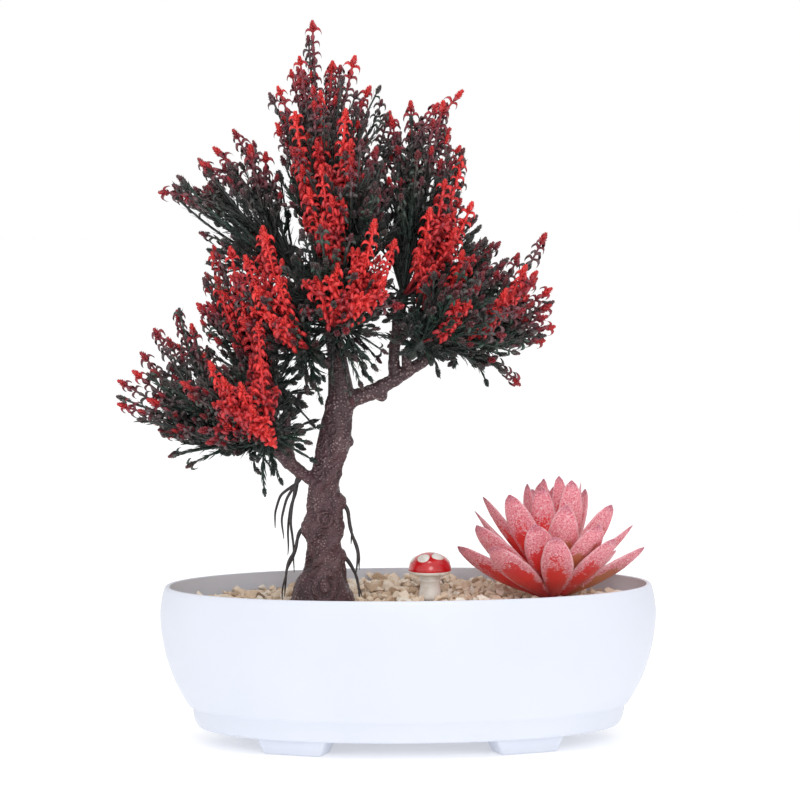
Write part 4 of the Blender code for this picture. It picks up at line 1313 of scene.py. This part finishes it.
def make_mushroom(paint, cream):
    centre = at(MUSHROOM_X, 0, 0)
    rises = [math.pi / 2 * k / 14 for k in range(15)]
    dome = [(CAP_RADIUS * math.sin(a), CAP_EDGE_Z + CAP_RISE * math.cos(a)) for a in rises]
    dome[0] = (0.05, CAP_EDGE_Z + CAP_RISE)

    def place_turned(name, profile, sides, nodes, finish):
        builder = Builder()
        revolve(builder, profile, centre, sides)
        place(builder.make(name), "mushroom", nodes, finish)

    place_turned("cap_skin", dome + CAP_SKIRT, 48, ["mushroom_cap"], paint)
    place_turned("cap_gills", GILLS, 48, [], cream)
    spots = Builder()
    for turn, rise, size in SPOTS:
        spots.add_rings([[centre + p * MM for p in ring] for ring in spot_rings(turn, rise, size)])
    place(spots.make("cap_spots"), "mushroom", [], cream)
    place_turned("stem_skin", STEM, 32, ["mushroom_stem"], cream)


# ------------------------------------------------------------------ studio

FLOOR_HALF = 6.0  # metres
# (name, place, what it points at, width in metres, power in watts)
LIGHTS = [
    ("key", (0.12, -1.5, 0.75), (0, 0, 0.10), 0.7, 5),
    ("top", (-0.1, -0.3, 1.6), (0, 0, 0.0), 0.8, 6),
]
CAMERA_LENS = 158.4
CAMERA_PLACE = (-0.0029, -1.409, 0.2512)  # from the pot's middle, before the yaw
CAMERA_YAW, CAMERA_DIP, CAMERA_ROLL = 0.0215, 0.0801, 0.0054


def make_floor(finish):
    half = FLOOR_HALF
    corners = [(-half, -half, 0), (half, -half, 0), (half, half, 0), (-half, half, 0)]
    builder = Builder()
    builder.add(corners, [(0, 1, 2, 3)])
    floor = builder.make("studio_floor", smooth=False)
    set_material(floor, finish)


def make_world():
    """White near the horizon, dimmer overhead and most of all to the sides."""
    world = bpy.data.worlds.new("studio")
    world.use_nodes = True
    tree = world.node_tree
    place_in_sky = add_node(tree, "ShaderNodeTexCoord", {}).outputs["Generated"]
    ways = add_node(tree, "ShaderNodeSeparateXYZ", {0: place_in_sky}).outputs
    sideways = add_node(tree, "ShaderNodeMath", {0: ways["X"]}, operation="ABSOLUTE").outputs[0]
    overhead = map_range(tree, sideways, 0.2, 0.9, 0.84, 0.64)
    level = map_range(tree, ways["Z"], 0.10, 0.30, 1.0, overhead)
    feed(tree, tree.nodes["Background"], {"Color": (1, 1, 1, 1), "Strength": level})
    bpy.context.scene.world = world
    bpy.context.scene.view_settings.view_transform = "Standard"


def add_light(name, spot, aim, width, power):
    lamp = bpy.data.lights.new(name, "AREA")
    lamp.shape = "DISK"
    lamp.size = width
    lamp.energy = power
    made = new_object(name, lamp)
    made.location = spot
    made.rotation_euler = (Vector(aim) - Vector(spot)).to_track_quat("-Z", "Y").to_euler()


def make_camera():
    camera = bpy.data.cameras.new("camera")
    camera.sensor_width = 36
    camera.lens = CAMERA_LENS
    camera.clip_end = 30
    holder = new_object("camera", camera)
    yaw = Matrix.Rotation(-CAMERA_YAW, 4, "Z")
    dip = Matrix.Rotation(math.pi / 2 - CAMERA_DIP, 4, "X")
    holder.location = at(0, 0, 0) + yaw.to_3x3() @ Vector(CAMERA_PLACE)
    holder.rotation_euler = (yaw @ dip @ Matrix.Rotation(-CAMERA_ROLL, 4, "Z")).to_euler()
    bpy.context.scene.camera = holder


# ------------------------------------------------------------------ everything

# ------------------------------------------------------------------ everything


make_world()
for light in LIGHTS:
    add_light(*light)
make_camera()
make_floor(floor_finish())
make_pot(pot_plastic())
make_gravel(stone_finish())
make_trunk(bark_finish())
make_roots(root_finish())
leaf_finish = foliage_finish()
for spray_number, (spray_name, (_, *plan)) in enumerate(SPRAYS.items()):
    make_spray(spray_name, *plan, leaf_finish, random.Random(100 + spray_number))
cream = cream_finish()
make_succulent(succulent_finish(), cream)
make_mushroom(cap_finish(), cream)
set_material(frame["nodes"]["foam_block"], foam_finish())
